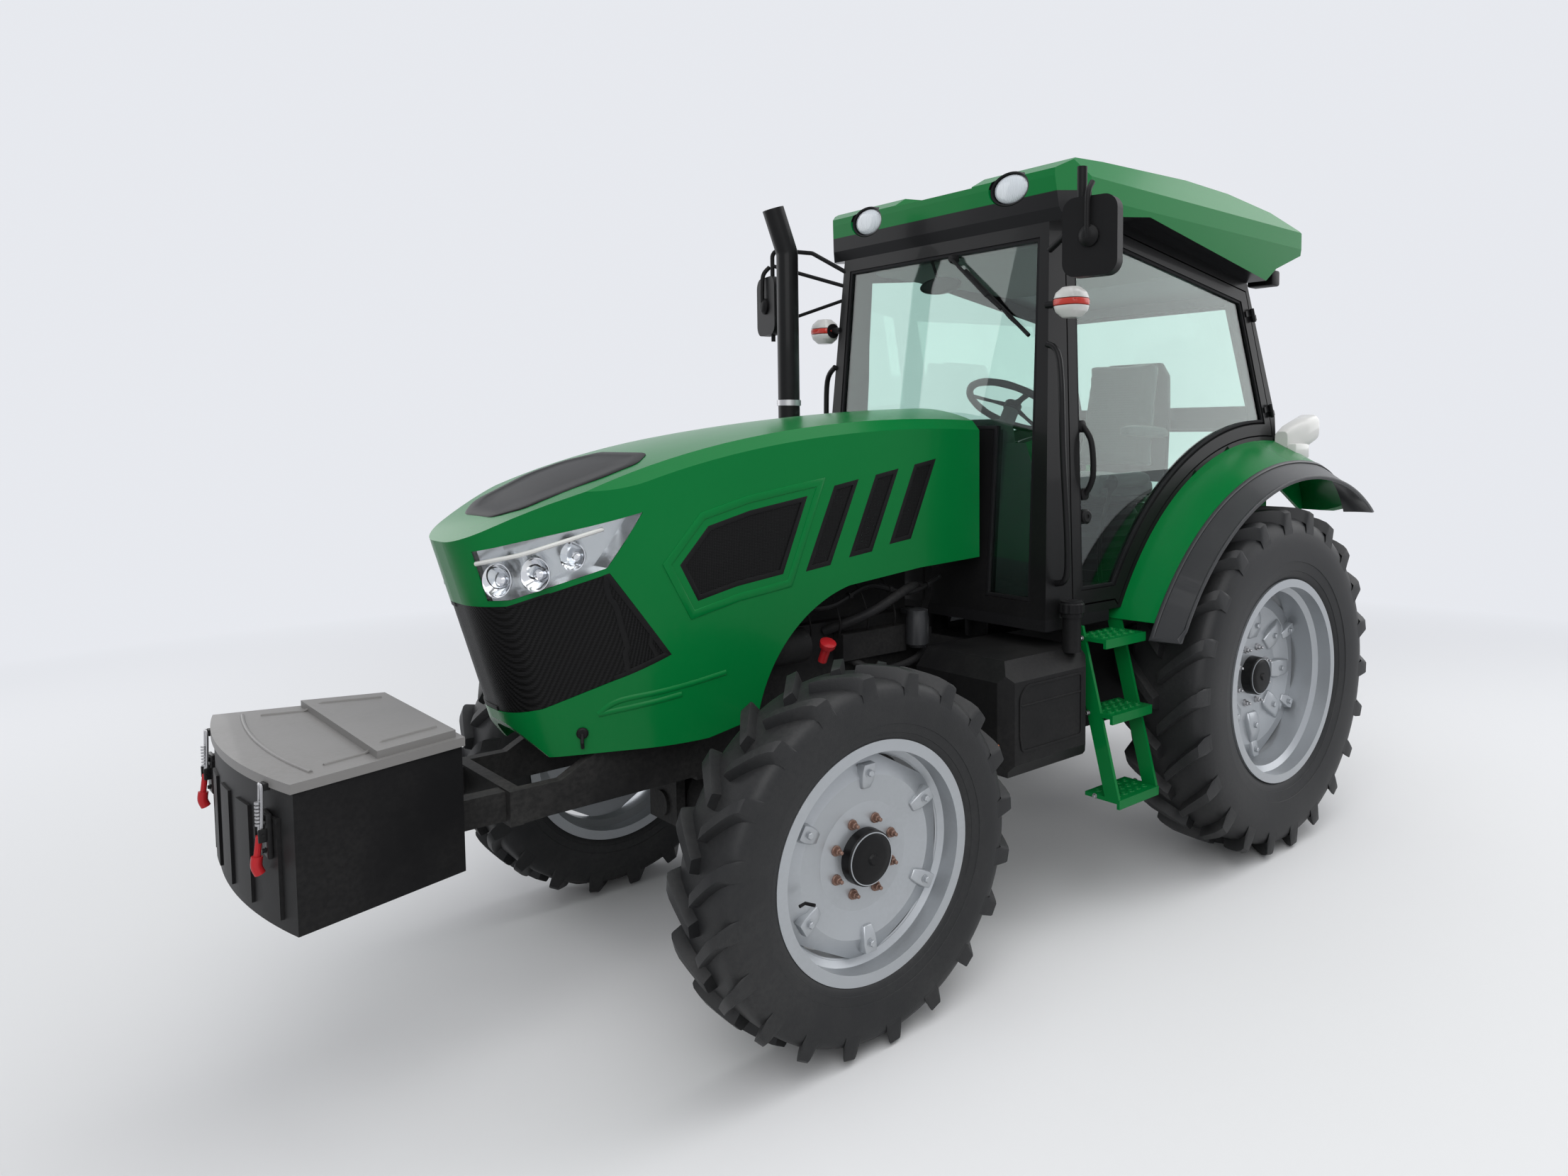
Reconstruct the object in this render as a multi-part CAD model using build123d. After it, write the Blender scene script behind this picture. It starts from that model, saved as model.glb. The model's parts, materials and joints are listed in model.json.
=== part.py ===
"""Farm tractor with a cab, four driven wheels, a front tool box and a rear three-point hitch.

Millimetres. +X forward, +Y to the driver's left, +Z up, ground at z = 0. Everything is modelled with
x = 0 on the rear axle, and save() moves it so that the middle of the whole length is at x = 0.
"""

from build123d import *
import math
import os

# ---------------------------------------------------------------- driving sizes
WHEELBASE = 2070
FIT = 0.06           # running clearance round a pin or spindle
SEAT_GAP = 0.3       # gap between curved pieces that seat on each other
PANEL_GAP = 6        # gap round a door, lid or hood

FRONT_TYRE_R = 522
FRONT_TYRE_W = 240
FRONT_RIM_R = 330    # over the flange
FRONT_RIM_W = 200
FRONT_WHEEL_Y = 735  # middle plane of the tyre
FRONT_LUGS = 20
FRONT_LUG_H = 30
FRONT_DISC_Y = 25    # disc plane, outward of the wheel's middle plane

REAR_TYRE_R = 692
REAR_TYRE_W = 350
REAR_RIM_R = 406
REAR_RIM_W = 300
REAR_WHEEL_Y = 758
REAR_LUGS = 22
REAR_LUG_H = 38
REAR_DISC_Y = -20

LUG_BASE = 0.17      # half the width of a lug at its foot, as a share of the lug pitch
LUG_TOP = 0.11
LUG_SWEEP = 50       # degrees that a lug runs ahead, on a tyre as wide as its radius
RIM_LIP = 22         # depth of the flange over the bead seat
RIM_T = 10
RIM_FLANGE = 12
DISC_T = 12
DISC_SLOTS = 6       # openings between the disc's edge and the rim
DISC_CHORD = 0.92    # distance of their straight side from the wheel's middle, as a share
HUB_R = 72
SPINDLE_R = 32
REAR_SPINDLE_R = 45

KINGPIN_Y = 585
KINGPIN_R = 20
EAR_Z = 92           # inner faces of the axle yoke's ears, above and below the axle
EAR_T = 20
STEER_ARM = 170      # kingpin to tie rod ball, rearward
TIE_ROD_R = 14
TIE_ROD_DROP = 92    # tie rod below the axle

HOOD_HALF_W = 335
HOOD_T = 14
HOOD_BEVEL = 34
HOOD_NOSE_X = WHEELBASE + 815
HOOD_NOSE_Z = 1367
HOOD_NOSE_LEAN = 0.279   # forward run of the nose for each unit of height
HOOD_HINGE_Z = 1690
HINGE_STAND_Y = 120
HINGE_PIN_R = 10

CAB_FRONT_LOW_X = 1152
CAB_T = 55           # depth of the cab's posts and rails
GLASS_T = 6
CAB_LOW_Z = 1040
CAB_LOW_HALF_W = 634
CAB_TOP_Z = 2452
CAB_TOP_HALF_W = 556
FLOOR_T = 40
WALL_Y = 545         # inner faces of the wheel houses
WALL_T = 15

FENDER_R = 1194      # front arc of the fender at its outer edge
FENDER_T = 18
FENDER_OUT_Y = 790
FENDER_FOOT_Z = 1325 # rear end of the fender
FLARE_OUT_Y = 900
FLARE_T = 14
DOOR_T = 40
DOOR_FENDER_GAP = 22
DOOR_PIN_R = 6
DOOR_BARREL_R = 9

GEARBOX_HALF_W = 170
RAIL_T = 35

BOX_X0 = WHEELBASE + 875
BOX_X1 = WHEELBASE + 1265
BOX_NOSE_X = WHEELBASE + 1315
BOX_Z0 = 590
BOX_Z1 = 905
BOX_REAR_HALF_W = 285
BOX_FRONT_HALF_W = 400
BOX_WALL = 8
LID_T = 22
BOX_RIB_Y = (-300, -150, 0, 150, 300)
BOX_RIB_W = 84
BOX_RIB_H = 6        # as far as the lid stands over the box

LINK_PIVOT = (-130, 470)      # x, z of the lower links' front pins
ROCKSHAFT = (-330, 880)       # x, z of the lift shaft
SHAFT_R = 28
LIFT_ARM = 380                # shaft to lift-rod pin, and lower-link pin to lift-rod pin
LINK_LENGTH = 830
LINK_SLOPE = -0.048           # rise of the lower links for each unit rearward
LINK_PIVOT_Y = 230
LINK_END_Y = 430
LINK_BALL_R = 14.2            # bore of the lower link ends
TOP_LINK_BORE_R = 12.7
DRAWBAR_HOLE_R = 14
PTO_R = 17.5
PTO_Z = 620
PTO_LENGTH = 80


# ---------------------------------------------------------------- helpers
def box(x, y, z):
    """Box between low and high limits along each axis."""
    middle = Pos((x[0] + x[1]) / 2, (y[0] + y[1]) / 2, (z[0] + z[1]) / 2)
    return middle * Box(x[1] - x[0], y[1] - y[0], z[1] - z[0])


def side_face(points, y=0, grow=0):
    """Face in the side view from (x, z) corners, optionally grown or shrunk all round."""
    face = make_face(Polyline([(px, 0, pz) for px, pz in points], close=True))
    if grow:
        face = offset(face, amount=grow, kind=Kind.INTERSECTION)
    return Pos(0, y, 0) * face


def side_prism(points, y, grow=0):
    """Side-view outline extruded between two y values."""
    return extrude(side_face(points, y[0], grow), amount=y[1] - y[0], dir=(0, 1, 0))


def plan_prism(points, z, lean=0):
    """Plan outline of (x, y) corners extruded between two z values, leaning forward with height."""
    face = make_face(Polyline([(px, py, z[0]) for px, py in points], close=True))
    return extrude(face, amount=z[1] - z[0], dir=(lean, 0, 1))


def front_prism(points, x, grow=0):
    """Front-view outline of (y, z) corners extruded between two x values."""
    face = make_face(Polyline([(x[0], py, pz) for py, pz in points], close=True))
    if grow:
        face = offset(face, amount=grow, kind=Kind.INTERSECTION)
    return extrude(face, amount=x[1] - x[0], dir=(1, 0, 0))


def rod(a, b, radius, hole=0):
    """Round bar, or tube, from point a to point b."""
    a, b = Vector(*a), Vector(*b)
    place = Plane(origin=a, z_dir=b - a)
    ground = (Align.CENTER, Align.CENTER, Align.MIN)
    bar = Cylinder(radius, (b - a).length, align=ground)
    if hole:
        bar -= Cylinder(hole, (b - a).length, align=ground)
    return place * bar


def pipe(points, radius, bend):
    """Round tube along straight runs joined by arcs."""
    path = FilletPolyline(points, radius=bend)
    start = Plane(origin=path @ 0, z_dir=path % 0)
    return sweep(start * Circle(radius), path=path)


def spun(profile):
    """Body turned about the Y axis from (y, radius) corners."""
    face = make_face(Polyline([(r, y, 0) for y, r in profile], close=True))
    return revolve(face, axis=Axis.Y, revolution_arc=360)


def mirrored(shape):
    """The same piece on the other side of the tractor."""
    return mirror(shape, about=Plane.XZ)


def both_sides(shape):
    return [shape, mirrored(shape)]


def turned(shape, degrees, x, z):
    """Shape turned about a line along Y through (x, z)."""
    return Pos(x, 0, z) * Rot(0, degrees, 0) * Pos(-x, 0, -z) * shape


def fused(pieces):
    """One solid from pieces that meet."""
    whole = pieces[0]
    for piece in pieces[1:]:
        whole += piece
    return whole


# ---------------------------------------------------------------- tyres and wheels
def around(radius, y, degrees):
    """Point on a wheel, its angle counted forward from the top."""
    spoke = Vector(0, 0, radius).rotate(Axis.Y, degrees)
    return Vector(spoke.X, y, spoke.Z)


def tyre(tyre_r, width, rim_r, rim_w, lugs, height):
    """Lugged tyre about the Y axis in flat facets, its two rows of lugs half a pitch apart."""
    half, bead_r, crown = width / 2, rim_r - RIM_LIP, tyre_r - height
    pitch = 360 / lugs
    ahead = LUG_SWEEP * half / tyre_r / pitch
    spread = 1 / Vector(1, 0).rotate(Axis.Z, pitch / 4).X
    seat_y = rim_w / 2 - RIM_FLANGE - SEAT_GAP
    seat_r, lip_r = (bead_r + SEAT_GAP) * spread, (rim_r + SEAT_GAP) * spread

    def ring(side, y, r, share, lead=0):
        """Two points to each lug of one row, a share of the pitch before and after its middle."""
        middles = [i + 0.25 * side + lead for i in range(lugs)]
        return [around(r, side * y, pitch * (m + end * share)) for m in middles for end in (-1, 1)]

    middle = {side: ring(side, 0, crown, LUG_BASE, ahead) for side in (-1, 1)}
    seats = {side: ring(side, seat_y, seat_r, 0.25) for side in (-1, 1)}
    count = 2 * lugs
    faces = [[seats[-1][(k + 1) % count], seats[-1][(k + 2) % count], seats[1][(k + 1) % count], seats[1][k]]
             for k in range(count)]
    for side in (-1, 1):
        lip = ring(side, seat_y, lip_r, 0.25)
        low = ring(side, 0.96 * half, bead_r + 0.30 * (crown - bead_r), 0.25)
        wall = ring(side, half, bead_r + 0.64 * (crown - bead_r), LUG_BASE)
        shoulder = ring(side, 0.88 * half, crown - 0.5 * height, LUG_BASE)
        outer_top = ring(side, 0.97 * half, tyre_r - 3, LUG_TOP)
        inner_top = ring(side, 0.07 * half, tyre_r, LUG_TOP, ahead)
        for near, far in ((seats[side], lip), (lip, low), (low, wall)):
            faces += [[near[k], near[(k + 1) % count], far[(k + 1) % count], far[k]] for k in range(count)]
        for i in range(lugs):
            a, b, n = 2 * i, 2 * i + 1, (2 * i + 2) % count
            for k in (a, b):
                faces += [[wall[k], shoulder[k], outer_top[k]], [shoulder[k], inner_top[k], outer_top[k]],
                          [shoulder[k], middle[side][k], inner_top[k]]]
            faces += [[wall[a], wall[b], outer_top[b], outer_top[a]],
                      [middle[side][a], middle[side][b], inner_top[b], inner_top[a]],
                      [outer_top[a], outer_top[b], inner_top[b]], [outer_top[a], inner_top[b], inner_top[a]],
                      [wall[b], wall[n], shoulder[n], shoulder[b]]]
            other = a if side < 0 else n
            edge = [middle[side][b], middle[-side][other], middle[-side][other + 1], middle[side][n]]
            faces.append([shoulder[b], shoulder[n], edge[0]])
            faces += [[shoulder[n], start, end] for start, end in zip(edge, edge[1:])]
    return Solid(Shell([make_face(Polyline(corners, close=True)) for corners in faces]))


def rim(rim_r, rim_w, disc_y, hub_in_y, hub_out_y, spindle_r):
    """Pressed rim with a dished disc and a hub bored for its spindle, about the Y axis."""
    half, bead_r = rim_w / 2, rim_r - RIM_LIP
    drop = bead_r - 22
    hoop = spun([
        (-half, rim_r), (-half + RIM_FLANGE, rim_r), (-half + RIM_FLANGE, bead_r),
        (-half + 50, bead_r), (-half + 65, drop), (half - 65, drop), (half - 50, bead_r),
        (half - RIM_FLANGE, bead_r), (half - RIM_FLANGE, rim_r), (half, rim_r), (half, bead_r - RIM_T),
        (half - 56, bead_r - RIM_T),
        (half - 71, drop - RIM_T), (-half + 71, drop - RIM_T), (-half + 56, bead_r - RIM_T),
        (-half, bead_r - RIM_T),
    ])
    disc = spun([
        (disc_y, HUB_R - 4), (disc_y, 0.52 * drop), (disc_y + 14, 0.78 * drop), (disc_y - 6, drop - 1),
        (disc_y - 6 + DISC_T, drop - 1), (disc_y + 14 + DISC_T, 0.78 * drop),
        (disc_y + DISC_T, 0.52 * drop), (disc_y + DISC_T, HUB_R - 4),
    ])
    through = (disc_y - 20, disc_y + 40)
    slot = rod((0, through[0], 0), (0, through[1], 0), drop - 6)
    slot &= box((-drop, drop), through, (DISC_CHORD * drop, drop))
    for i in range(DISC_SLOTS):
        disc -= Rot(0, (i + 0.5) * 360 / DISC_SLOTS, 0) * slot
    hub = spun([(hub_in_y, spindle_r + FIT), (hub_in_y, HUB_R), (hub_out_y, HUB_R),
                (hub_out_y, 0), (hub_out_y - 14, 0), (hub_out_y - 14, spindle_r + FIT)])
    return hoop + disc + hub


front_tyre = tyre(FRONT_TYRE_R, FRONT_TYRE_W, FRONT_RIM_R, FRONT_RIM_W, FRONT_LUGS, FRONT_LUG_H)
rear_tyre = tyre(REAR_TYRE_R, REAR_TYRE_W, REAR_RIM_R, REAR_RIM_W, REAR_LUGS, REAR_LUG_H)
FRONT_AXLE_Z = -front_tyre.bounding_box().min.Z
REAR_AXLE_Z = -rear_tyre.bounding_box().min.Z
FRONT_HUB_IN = -70
FRONT_HUB_OUT = 72
REAR_HUB_IN = -140
REAR_HUB_OUT = 40
front_wheel = rim(FRONT_RIM_R, FRONT_RIM_W, FRONT_DISC_Y, FRONT_HUB_IN, FRONT_HUB_OUT, SPINDLE_R)
rear_wheel = rim(REAR_RIM_R, REAR_RIM_W, REAR_DISC_Y, REAR_HUB_IN, REAR_HUB_OUT, REAR_SPINDLE_R)

front_place = Pos(WHEELBASE, FRONT_WHEEL_Y, FRONT_AXLE_Z)
rear_place = Pos(0, REAR_WHEEL_Y, REAR_AXLE_Z)
nodes = {
    "tyre_front_left": front_place * front_tyre,
    "tyre_front_right": mirrored(front_place * front_tyre),
    "tyre_rear_left": rear_place * rear_tyre,
    "tyre_rear_right": mirrored(rear_place * rear_tyre),
    "wheel_front_left": front_place * front_wheel,
    "wheel_front_right": mirrored(front_place * front_wheel),
    "wheel_rear_left": rear_place * rear_wheel,
    "wheel_rear_right": mirrored(rear_place * rear_wheel),
}


# ---------------------------------------------------------------- front axle and steering
def knuckle():
    """Steering knuckle: housing between the ears, pins in them, spindle out, arm to the rear."""
    x, z = WHEELBASE, FRONT_AXLE_Z
    house = rod((x, KINGPIN_Y, z), (x, FRONT_WHEEL_Y + FRONT_HUB_IN - 8, z), 66)
    pillar = rod((x, KINGPIN_Y, z - EAR_Z + 5), (x, KINGPIN_Y, z + EAR_Z - 5), 42)
    pins = rod((x, KINGPIN_Y, z - EAR_Z - EAR_T), (x, KINGPIN_Y, z + EAR_Z + EAR_T), KINGPIN_R)
    spindle_end = FRONT_WHEEL_Y + FRONT_HUB_OUT - 24
    spindle = rod((x, KINGPIN_Y, z), (x, spindle_end, z), SPINDLE_R)
    arm_z = z - TIE_ROD_DROP + TIE_ROD_R + 12
    arm = box((x - STEER_ARM - 22, x - 20), (KINGPIN_Y - 18, KINGPIN_Y + 18), (arm_z, arm_z + 24))
    web = box((x - 66, x - 20), (KINGPIN_Y - 18, KINGPIN_Y + 18), (arm_z, z))
    ball = rod((x - STEER_ARM, KINGPIN_Y, z - TIE_ROD_DROP), (x - STEER_ARM, KINGPIN_Y, arm_z + 24), 9)
    return fused([house, pillar, pins, spindle, arm, web, ball])


def front_axle():
    """Driven beam axle with a gear housing, pivot bosses and a yoke for each knuckle."""
    x, z = WHEELBASE, FRONT_AXLE_Z
    beam = rod((x, -520, z), (x, 520, z), 55)
    gears = spun([(-150, 1), (-150, 70), (-60, 128), (60, 128), (150, 70), (150, 1)])
    bosses = rod((x - 185, 0, z), (x + 185, 0, z), 40)
    yoke = box((x - 48, x + 48), (498, 528), (z - EAR_Z - EAR_T, z + EAR_Z + EAR_T))
    for low in (z + EAR_Z, z - EAR_Z - EAR_T):
        yoke += box((x - 48, x + 48), (498, KINGPIN_Y + 40), (low, low + EAR_T))
    yoke -= rod((x, KINGPIN_Y, z - 200), (x, KINGPIN_Y, z + 200), KINGPIN_R + FIT)
    return fused([beam, Pos(x, 0, z) * gears, bosses, yoke, mirrored(yoke)])


def tie_rod():
    """Rod from arm to arm with an eye round each ball pin."""
    x, z = WHEELBASE - STEER_ARM, FRONT_AXLE_Z - TIE_ROD_DROP
    bar = rod((x, -KINGPIN_Y + 20, z), (x, KINGPIN_Y - 20, z), TIE_ROD_R)
    left = rod((x, KINGPIN_Y, z - 14), (x, KINGPIN_Y, z + 14), 24)
    left -= rod((x, KINGPIN_Y, z - 20), (x, KINGPIN_Y, z + 20), 9 + FIT)
    right = rod((x, -KINGPIN_Y, z - 14), (x, -KINGPIN_Y, z + 14), 24)
    right -= rod((x, -KINGPIN_Y, z - 20), (x, -KINGPIN_Y, z + 20), 10)
    return fused([bar, left, right])


nodes["front_axle"] = front_axle()
nodes["knuckle_left"] = knuckle()
nodes["knuckle_right"] = mirrored(knuckle())
nodes["tie_rod"] = tie_rod()


# ---------------------------------------------------------------- engine, frame and gearbox
HOOD_REAR_X = CAB_FRONT_LOW_X + 13
HOOD_HINGE_X = HOOD_REAR_X + 60
ENGINE_X0 = WHEELBASE - 770
ENGINE_X1 = WHEELBASE - 10
GEARBOX_Z = 900
REAR_CASE_Z = 940
RAIL_Z0 = 656
RAIL_Z1 = 790
RADIATOR_X = (WHEELBASE + 260, WHEELBASE + 330)
FAN_Z = 1080
EXHAUST_Z = 1140


def engine():
    """Engine with its sump, head, fan and what hangs on its sides."""
    rear, front = ENGINE_X0, ENGINE_X1
    block = side_prism([(rear, 470), (rear, 1050), (front, 1050), (front, 680), (front - 170, 680),
                        (front - 210, 600), (front - 210, 470)], (-GEARBOX_HALF_W, GEARBOX_HALF_W))
    head = box((rear + 40, front - 60), (-130, 130), (1050, 1230))
    cover = box((rear + 70, front - 90), (-80, 80), (1230, 1300))
    filters = [rod((x, 170, 830), (x, 235, 830), 42) for x in (rear + 180, rear + 300)]
    pump = box((rear + 120, rear + 400), (170, 225), (920, 1010))
    starter = rod((rear + 60, -225, 760), (rear + 260, -225, 760), 45)
    starter += box((rear + 80, rear + 240), (-225, -165), (730, 790))
    alternator = rod((front - 200, 215, 1000), (front - 60, 215, 1000), 55)
    alternator += box((front - 180, front - 80), (150, 215), (980, 1020))
    manifold = [box((x, x + 70), (-160, -130), (1110, 1170)) for x in range(rear + 130, front - 160, 150)]
    manifold.append(box((rear + 60, front - 110), (-200, -160), (1105, 1175)))
    hub = rod((front, 0, FAN_Z), (front + 110, 0, FAN_Z), 45)
    blade = Pos(front + 80, 0, FAN_Z + 120) * Rot(0, 0, 25) * Box(8, 90, 200)
    fan = [Pos(0, 0, FAN_Z) * Rot(60 * i, 0, 0) * Pos(0, 0, -FAN_Z) * blade for i in range(6)]
    support = box((front - 60, front), (-60, 60), (1040, 1130))
    return fused([block, head, cover, *filters, pump, starter, alternator, *manifold, support, hub, *fan])


def radiator():
    """Radiator core in a frame with its top tank."""
    frame = box(RADIATOR_X, (-260, 260), (RAIL_Z1 + 15, 1370))
    core = box((RADIATOR_X[0] + 50, RADIATOR_X[1]), (-225, 225), (RAIL_Z1 + 60, 1290))
    tank = box((RADIATOR_X[0] - 20, RADIATOR_X[1] + 10), (-240, 240), (1370, 1420))
    return frame - core + tank


def front_frame():
    """Cast side rails, axle saddles, radiator shelf and the bracket of the front box."""
    wide, x = GEARBOX_HALF_W + RAIL_T, WHEELBASE
    rail = side_prism(
        [(x - 270, 690), (x - 270, RAIL_Z1), (x + 490, RAIL_Z1), (x + 590, 735), (x + 730, 735), (x + 730, 640),
         (x + 630, RAIL_Z0 - 10), (x - 150, RAIL_Z0)], (GEARBOX_HALF_W, wide))
    shelf = box((x + 170, x + 490), (-wide, wide), (RAIL_Z1, RAIL_Z1 + 15))
    nose = box((x + 695, x + 730), (-wide, wide), (640, 735))
    saddles = []
    for low_x in (x - 175, x + 145):
        block = box((low_x, low_x + 30), (-82, 82), (FRONT_AXLE_Z - 58, 640))
        block += box((low_x, low_x + 30), (-wide, wide), (640, RAIL_Z0 + 14))
        saddles.append(block - rod((low_x - 5, 0, FRONT_AXLE_Z), (low_x + 35, 0, FRONT_AXLE_Z), 40 + FIT))
    arms = [box((x + 730, BOX_X0), (y - 25, y + 25), (650, 730)) for y in (-150, 150)]
    return fused([rail, mirrored(rail), shelf, nose, *saddles, *arms])


def transmission():
    """Clutch housing, gearbox and rear axle case in one casting line, with the lift housing."""
    case = side_prism(
        [(ENGINE_X0, 480), (ENGINE_X0, 960), (1050, GEARBOX_Z), (500, GEARBOX_Z),
         (300, REAR_CASE_Z), (-200, REAR_CASE_Z),
         (-260, 860), (-260, 480), (-120, 430), (420, 430), (600, 520), (1100, 520)],
        (-GEARBOX_HALF_W, GEARBOX_HALF_W))
    lift = side_prism(
        [(-180, 800), (-180, 940), (-400, 940), (-400, 830), (-300, 760)], (-150, 150))
    lift -= rod((ROCKSHAFT[0], -160, ROCKSHAFT[1]), (ROCKSHAFT[0], 160, ROCKSHAFT[1]), SHAFT_R + FIT)
    bolted = box((ENGINE_X0 - 30, ENGINE_X0), (-195, 195), (500, 980))
    stand = [side_prism([(ENGINE_X0 - 30, 940), (HOOD_HINGE_X - 20, 1080), (HOOD_HINGE_X - 20, HOOD_HINGE_Z + 14),
                         (HOOD_HINGE_X + 12, HOOD_HINGE_Z + 14), (HOOD_HINGE_X + 12, 1080), (ENGINE_X0, 960)],
                        (y - 6, y + 6)) for y in (-HINGE_STAND_Y, HINGE_STAND_Y)]
    stand.append(rod((HOOD_HINGE_X, -HINGE_STAND_Y - 34, HOOD_HINGE_Z),
                     (HOOD_HINGE_X, HINGE_STAND_Y + 34, HOOD_HINGE_Z), HINGE_PIN_R))
    guard = side_prism([(-258, 560), (-258, 700), (-345, 700), (-345, 688), (-272, 688), (-272, 560)],
                       (-95, 95))
    guard -= rod((-280, 0, PTO_Z), (-250, 0, PTO_Z), 45)
    return fused([case, lift, bolted, guard, *stand])


def rear_axle():
    """Axle tubes on each side of the gearbox, each with a spindle for its wheel."""
    z = REAR_AXLE_Z
    tube = spun([(GEARBOX_HALF_W, 1), (GEARBOX_HALF_W, 145), (GEARBOX_HALF_W + 25, 145),
                 (GEARBOX_HALF_W + 60, 100), (520, 84), (545, 110), (REAR_WHEEL_Y + REAR_HUB_IN - 8, 110),
                 (REAR_WHEEL_Y + REAR_HUB_IN - 8, REAR_SPINDLE_R),
                 (REAR_WHEEL_Y + REAR_HUB_OUT - 24, REAR_SPINDLE_R),
                 (REAR_WHEEL_Y + REAR_HUB_OUT - 24, 1)])
    return both_sides(Pos(0, 0, z) * tube)


nodes["engine"] = [engine(), radiator()]
nodes["front_frame"] = front_frame()
nodes["transmission"] = transmission()
nodes["rear_axle"] = rear_axle()


# ---------------------------------------------------------------- hood
# x, height of the shoulder crease, height of the middle above the crease
HOOD_SECTIONS = [
    (HOOD_REAR_X, 1722, 50),
    (WHEELBASE - 370, 1713, 22),
    (WHEELBASE + 180, 1634, 12),
    (WHEELBASE + 530, 1528, 10),
    (WHEELBASE + 880, 1342, 8),
]


def from_axle(points):
    """Side-view corners (x, z) given with x from the front axle."""
    return [(WHEELBASE + dx, z) for dx, z in points]


GRILLE = from_axle([(930, 1212), (700, 1220), (484, 1300), (320, 1060), (620, 930), (930, 850)])
HEADLIGHT = from_axle([(930, 1360), (814, 1360), (400, 1462), (490, 1314), (700, 1236), (930, 1228)])
HEADLIGHT_INNER_Y = 130
HEX_VENT = from_axle([(292, 1308), (200, 1412), (57, 1450), (-149, 1484), (-55, 1252), (108, 1231), (237, 1202)])
SLOT_COUNT = 3
SLOT_PITCH = 170
SLOT_RISE = 30
SLOT = from_axle([(-254, 1512), (-352, 1530), (-235, 1264), (-140, 1252)])


def hood_block(inset):
    """The hood's outer form, or the same form a distance inside it."""
    half = HOOD_HALF_W - inset
    faces = []
    for x, crease, crown in HOOD_SECTIONS:
        x -= 20 if inset and x == HOOD_REAR_X else 0
        z, low = crease - inset, 700
        edge = half - HOOD_BEVEL
        side = Polyline([(x, -edge, z), (x, -half, z - HOOD_BEVEL), (x, -half, low), (x, half, low),
                         (x, half, z - HOOD_BEVEL), (x, edge, z)])
        top = ThreePointArc((x, edge, z), (x, 0, z + crown), (x, -edge, z))
        faces.append(make_face([*side.edges(), top]))
    form = loft(faces)
    nose_x = HOOD_NOSE_X - inset
    low_x = nose_x - HOOD_NOSE_LEAN * (HOOD_NOSE_Z - 700)
    rear_x = HOOD_REAR_X - 600
    corners = [(rear_x, -half), (low_x - 365, -half), (low_x, -130), (low_x, 130), (low_x - 365, half),
               (rear_x, half)]
    outline = make_face(Polyline([(x, y, 700) for x, y in corners], close=True))
    bends = outline.vertices().sort_by(Axis.X)
    outline = fillet(bends[2:4], radius=460)
    outline = fillet(outline.vertices().sort_by(Axis.X)[-2:], radius=170)
    return form & extrude(outline, amount=1200, dir=(HOOD_NOSE_LEAN, 0, 1))


def hood_below():
    """What is cut away below the hood: the rear edge, the wheel arch, the chin."""
    x, back = WHEELBASE, HOOD_REAR_X - 200
    line = [
        Polyline([(back, 0, 600), (back, 0, 1246), (x - 618, 0, 1223), (x - 311, 0, 1192)]),
        ThreePointArc((x - 311, 0, 1192), (x - 85, 0, 1066), (x + 42, 0, 832)),
        Polyline([(x + 42, 0, 832), (x + 211, 0, 802), (x + 600, 0, 790), (x + 680, 0, 883),
                  (x + 1030, 0, 1100), (x + 1030, 0, 600), (back, 0, 600)]),
    ]
    edges = [edge for part in line for edge in part.edges()]
    return extrude(Pos(0, -500, 0) * make_face(edges), amount=1000, dir=(0, 1, 0))


def slots():
    """Corners of the three leaning slots behind the big vent."""
    return [[(x - i * SLOT_PITCH, z + i * SLOT_RISE) for x, z in SLOT] for i in range(SLOT_COUNT)]


wide = (-HOOD_HALF_W - 50, HOOD_HALF_W + 50)
headlight_sides = [(wide[0], -HEADLIGHT_INNER_Y), (HEADLIGHT_INNER_Y, wide[1])]
outer = hood_block(0)
inner = hood_block(HOOD_T)
below = hood_below()
hood = outer - inner - below
for outline in (GRILLE, HEX_VENT, *slots()):
    hood -= side_prism(outline, wide)
for side in headlight_sides:
    hood -= side_prism(HEADLIGHT, side)
for y in (-HINGE_STAND_Y - 20, HINGE_STAND_Y + 20):
    ear = side_prism([(HOOD_HINGE_X - 26, HOOD_HINGE_Z - 16), (HOOD_HINGE_X - 26, 1900), (HOOD_HINGE_X + 60, 1900),
                      (HOOD_HINGE_X + 26, HOOD_HINGE_Z - 16)], (y - 6, y + 6))
    ear = ear & hood_block(HOOD_T / 2)
    hood = hood + ear - rod((HOOD_HINGE_X, y - 8, HOOD_HINGE_Z), (HOOD_HINGE_X, y + 8, HOOD_HINGE_Z),
                            HINGE_PIN_R + FIT)

panel = hood_block(3) - inner - below
grilles = [panel & side_prism(outline, wide, -0.5) for outline in (GRILLE, HEX_VENT, *slots())]
lamp_body = hood_block(2) - hood_block(70) - below
headlights = [lamp_body & side_prism(HEADLIGHT, side, -0.5) for side in headlight_sides]
nodes["hood"] = hood
nodes["hood_grilles"] = [solid for grille in grilles for solid in grille.solids()]
nodes["headlights"] = [solid for light in headlights for solid in light.solids()]


# ---------------------------------------------------------------- front box
LID_STEP_X = BOX_X0 + 205
LID_RISE = 18
LID_PIN_R = 5
LID_BARREL_R = 9
LID_HINGE_AT = (BOX_X0 - 16, 0, BOX_Z1 + 1)
LID_BARREL_Y = 140   # half the length of the lid's own barrel


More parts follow.
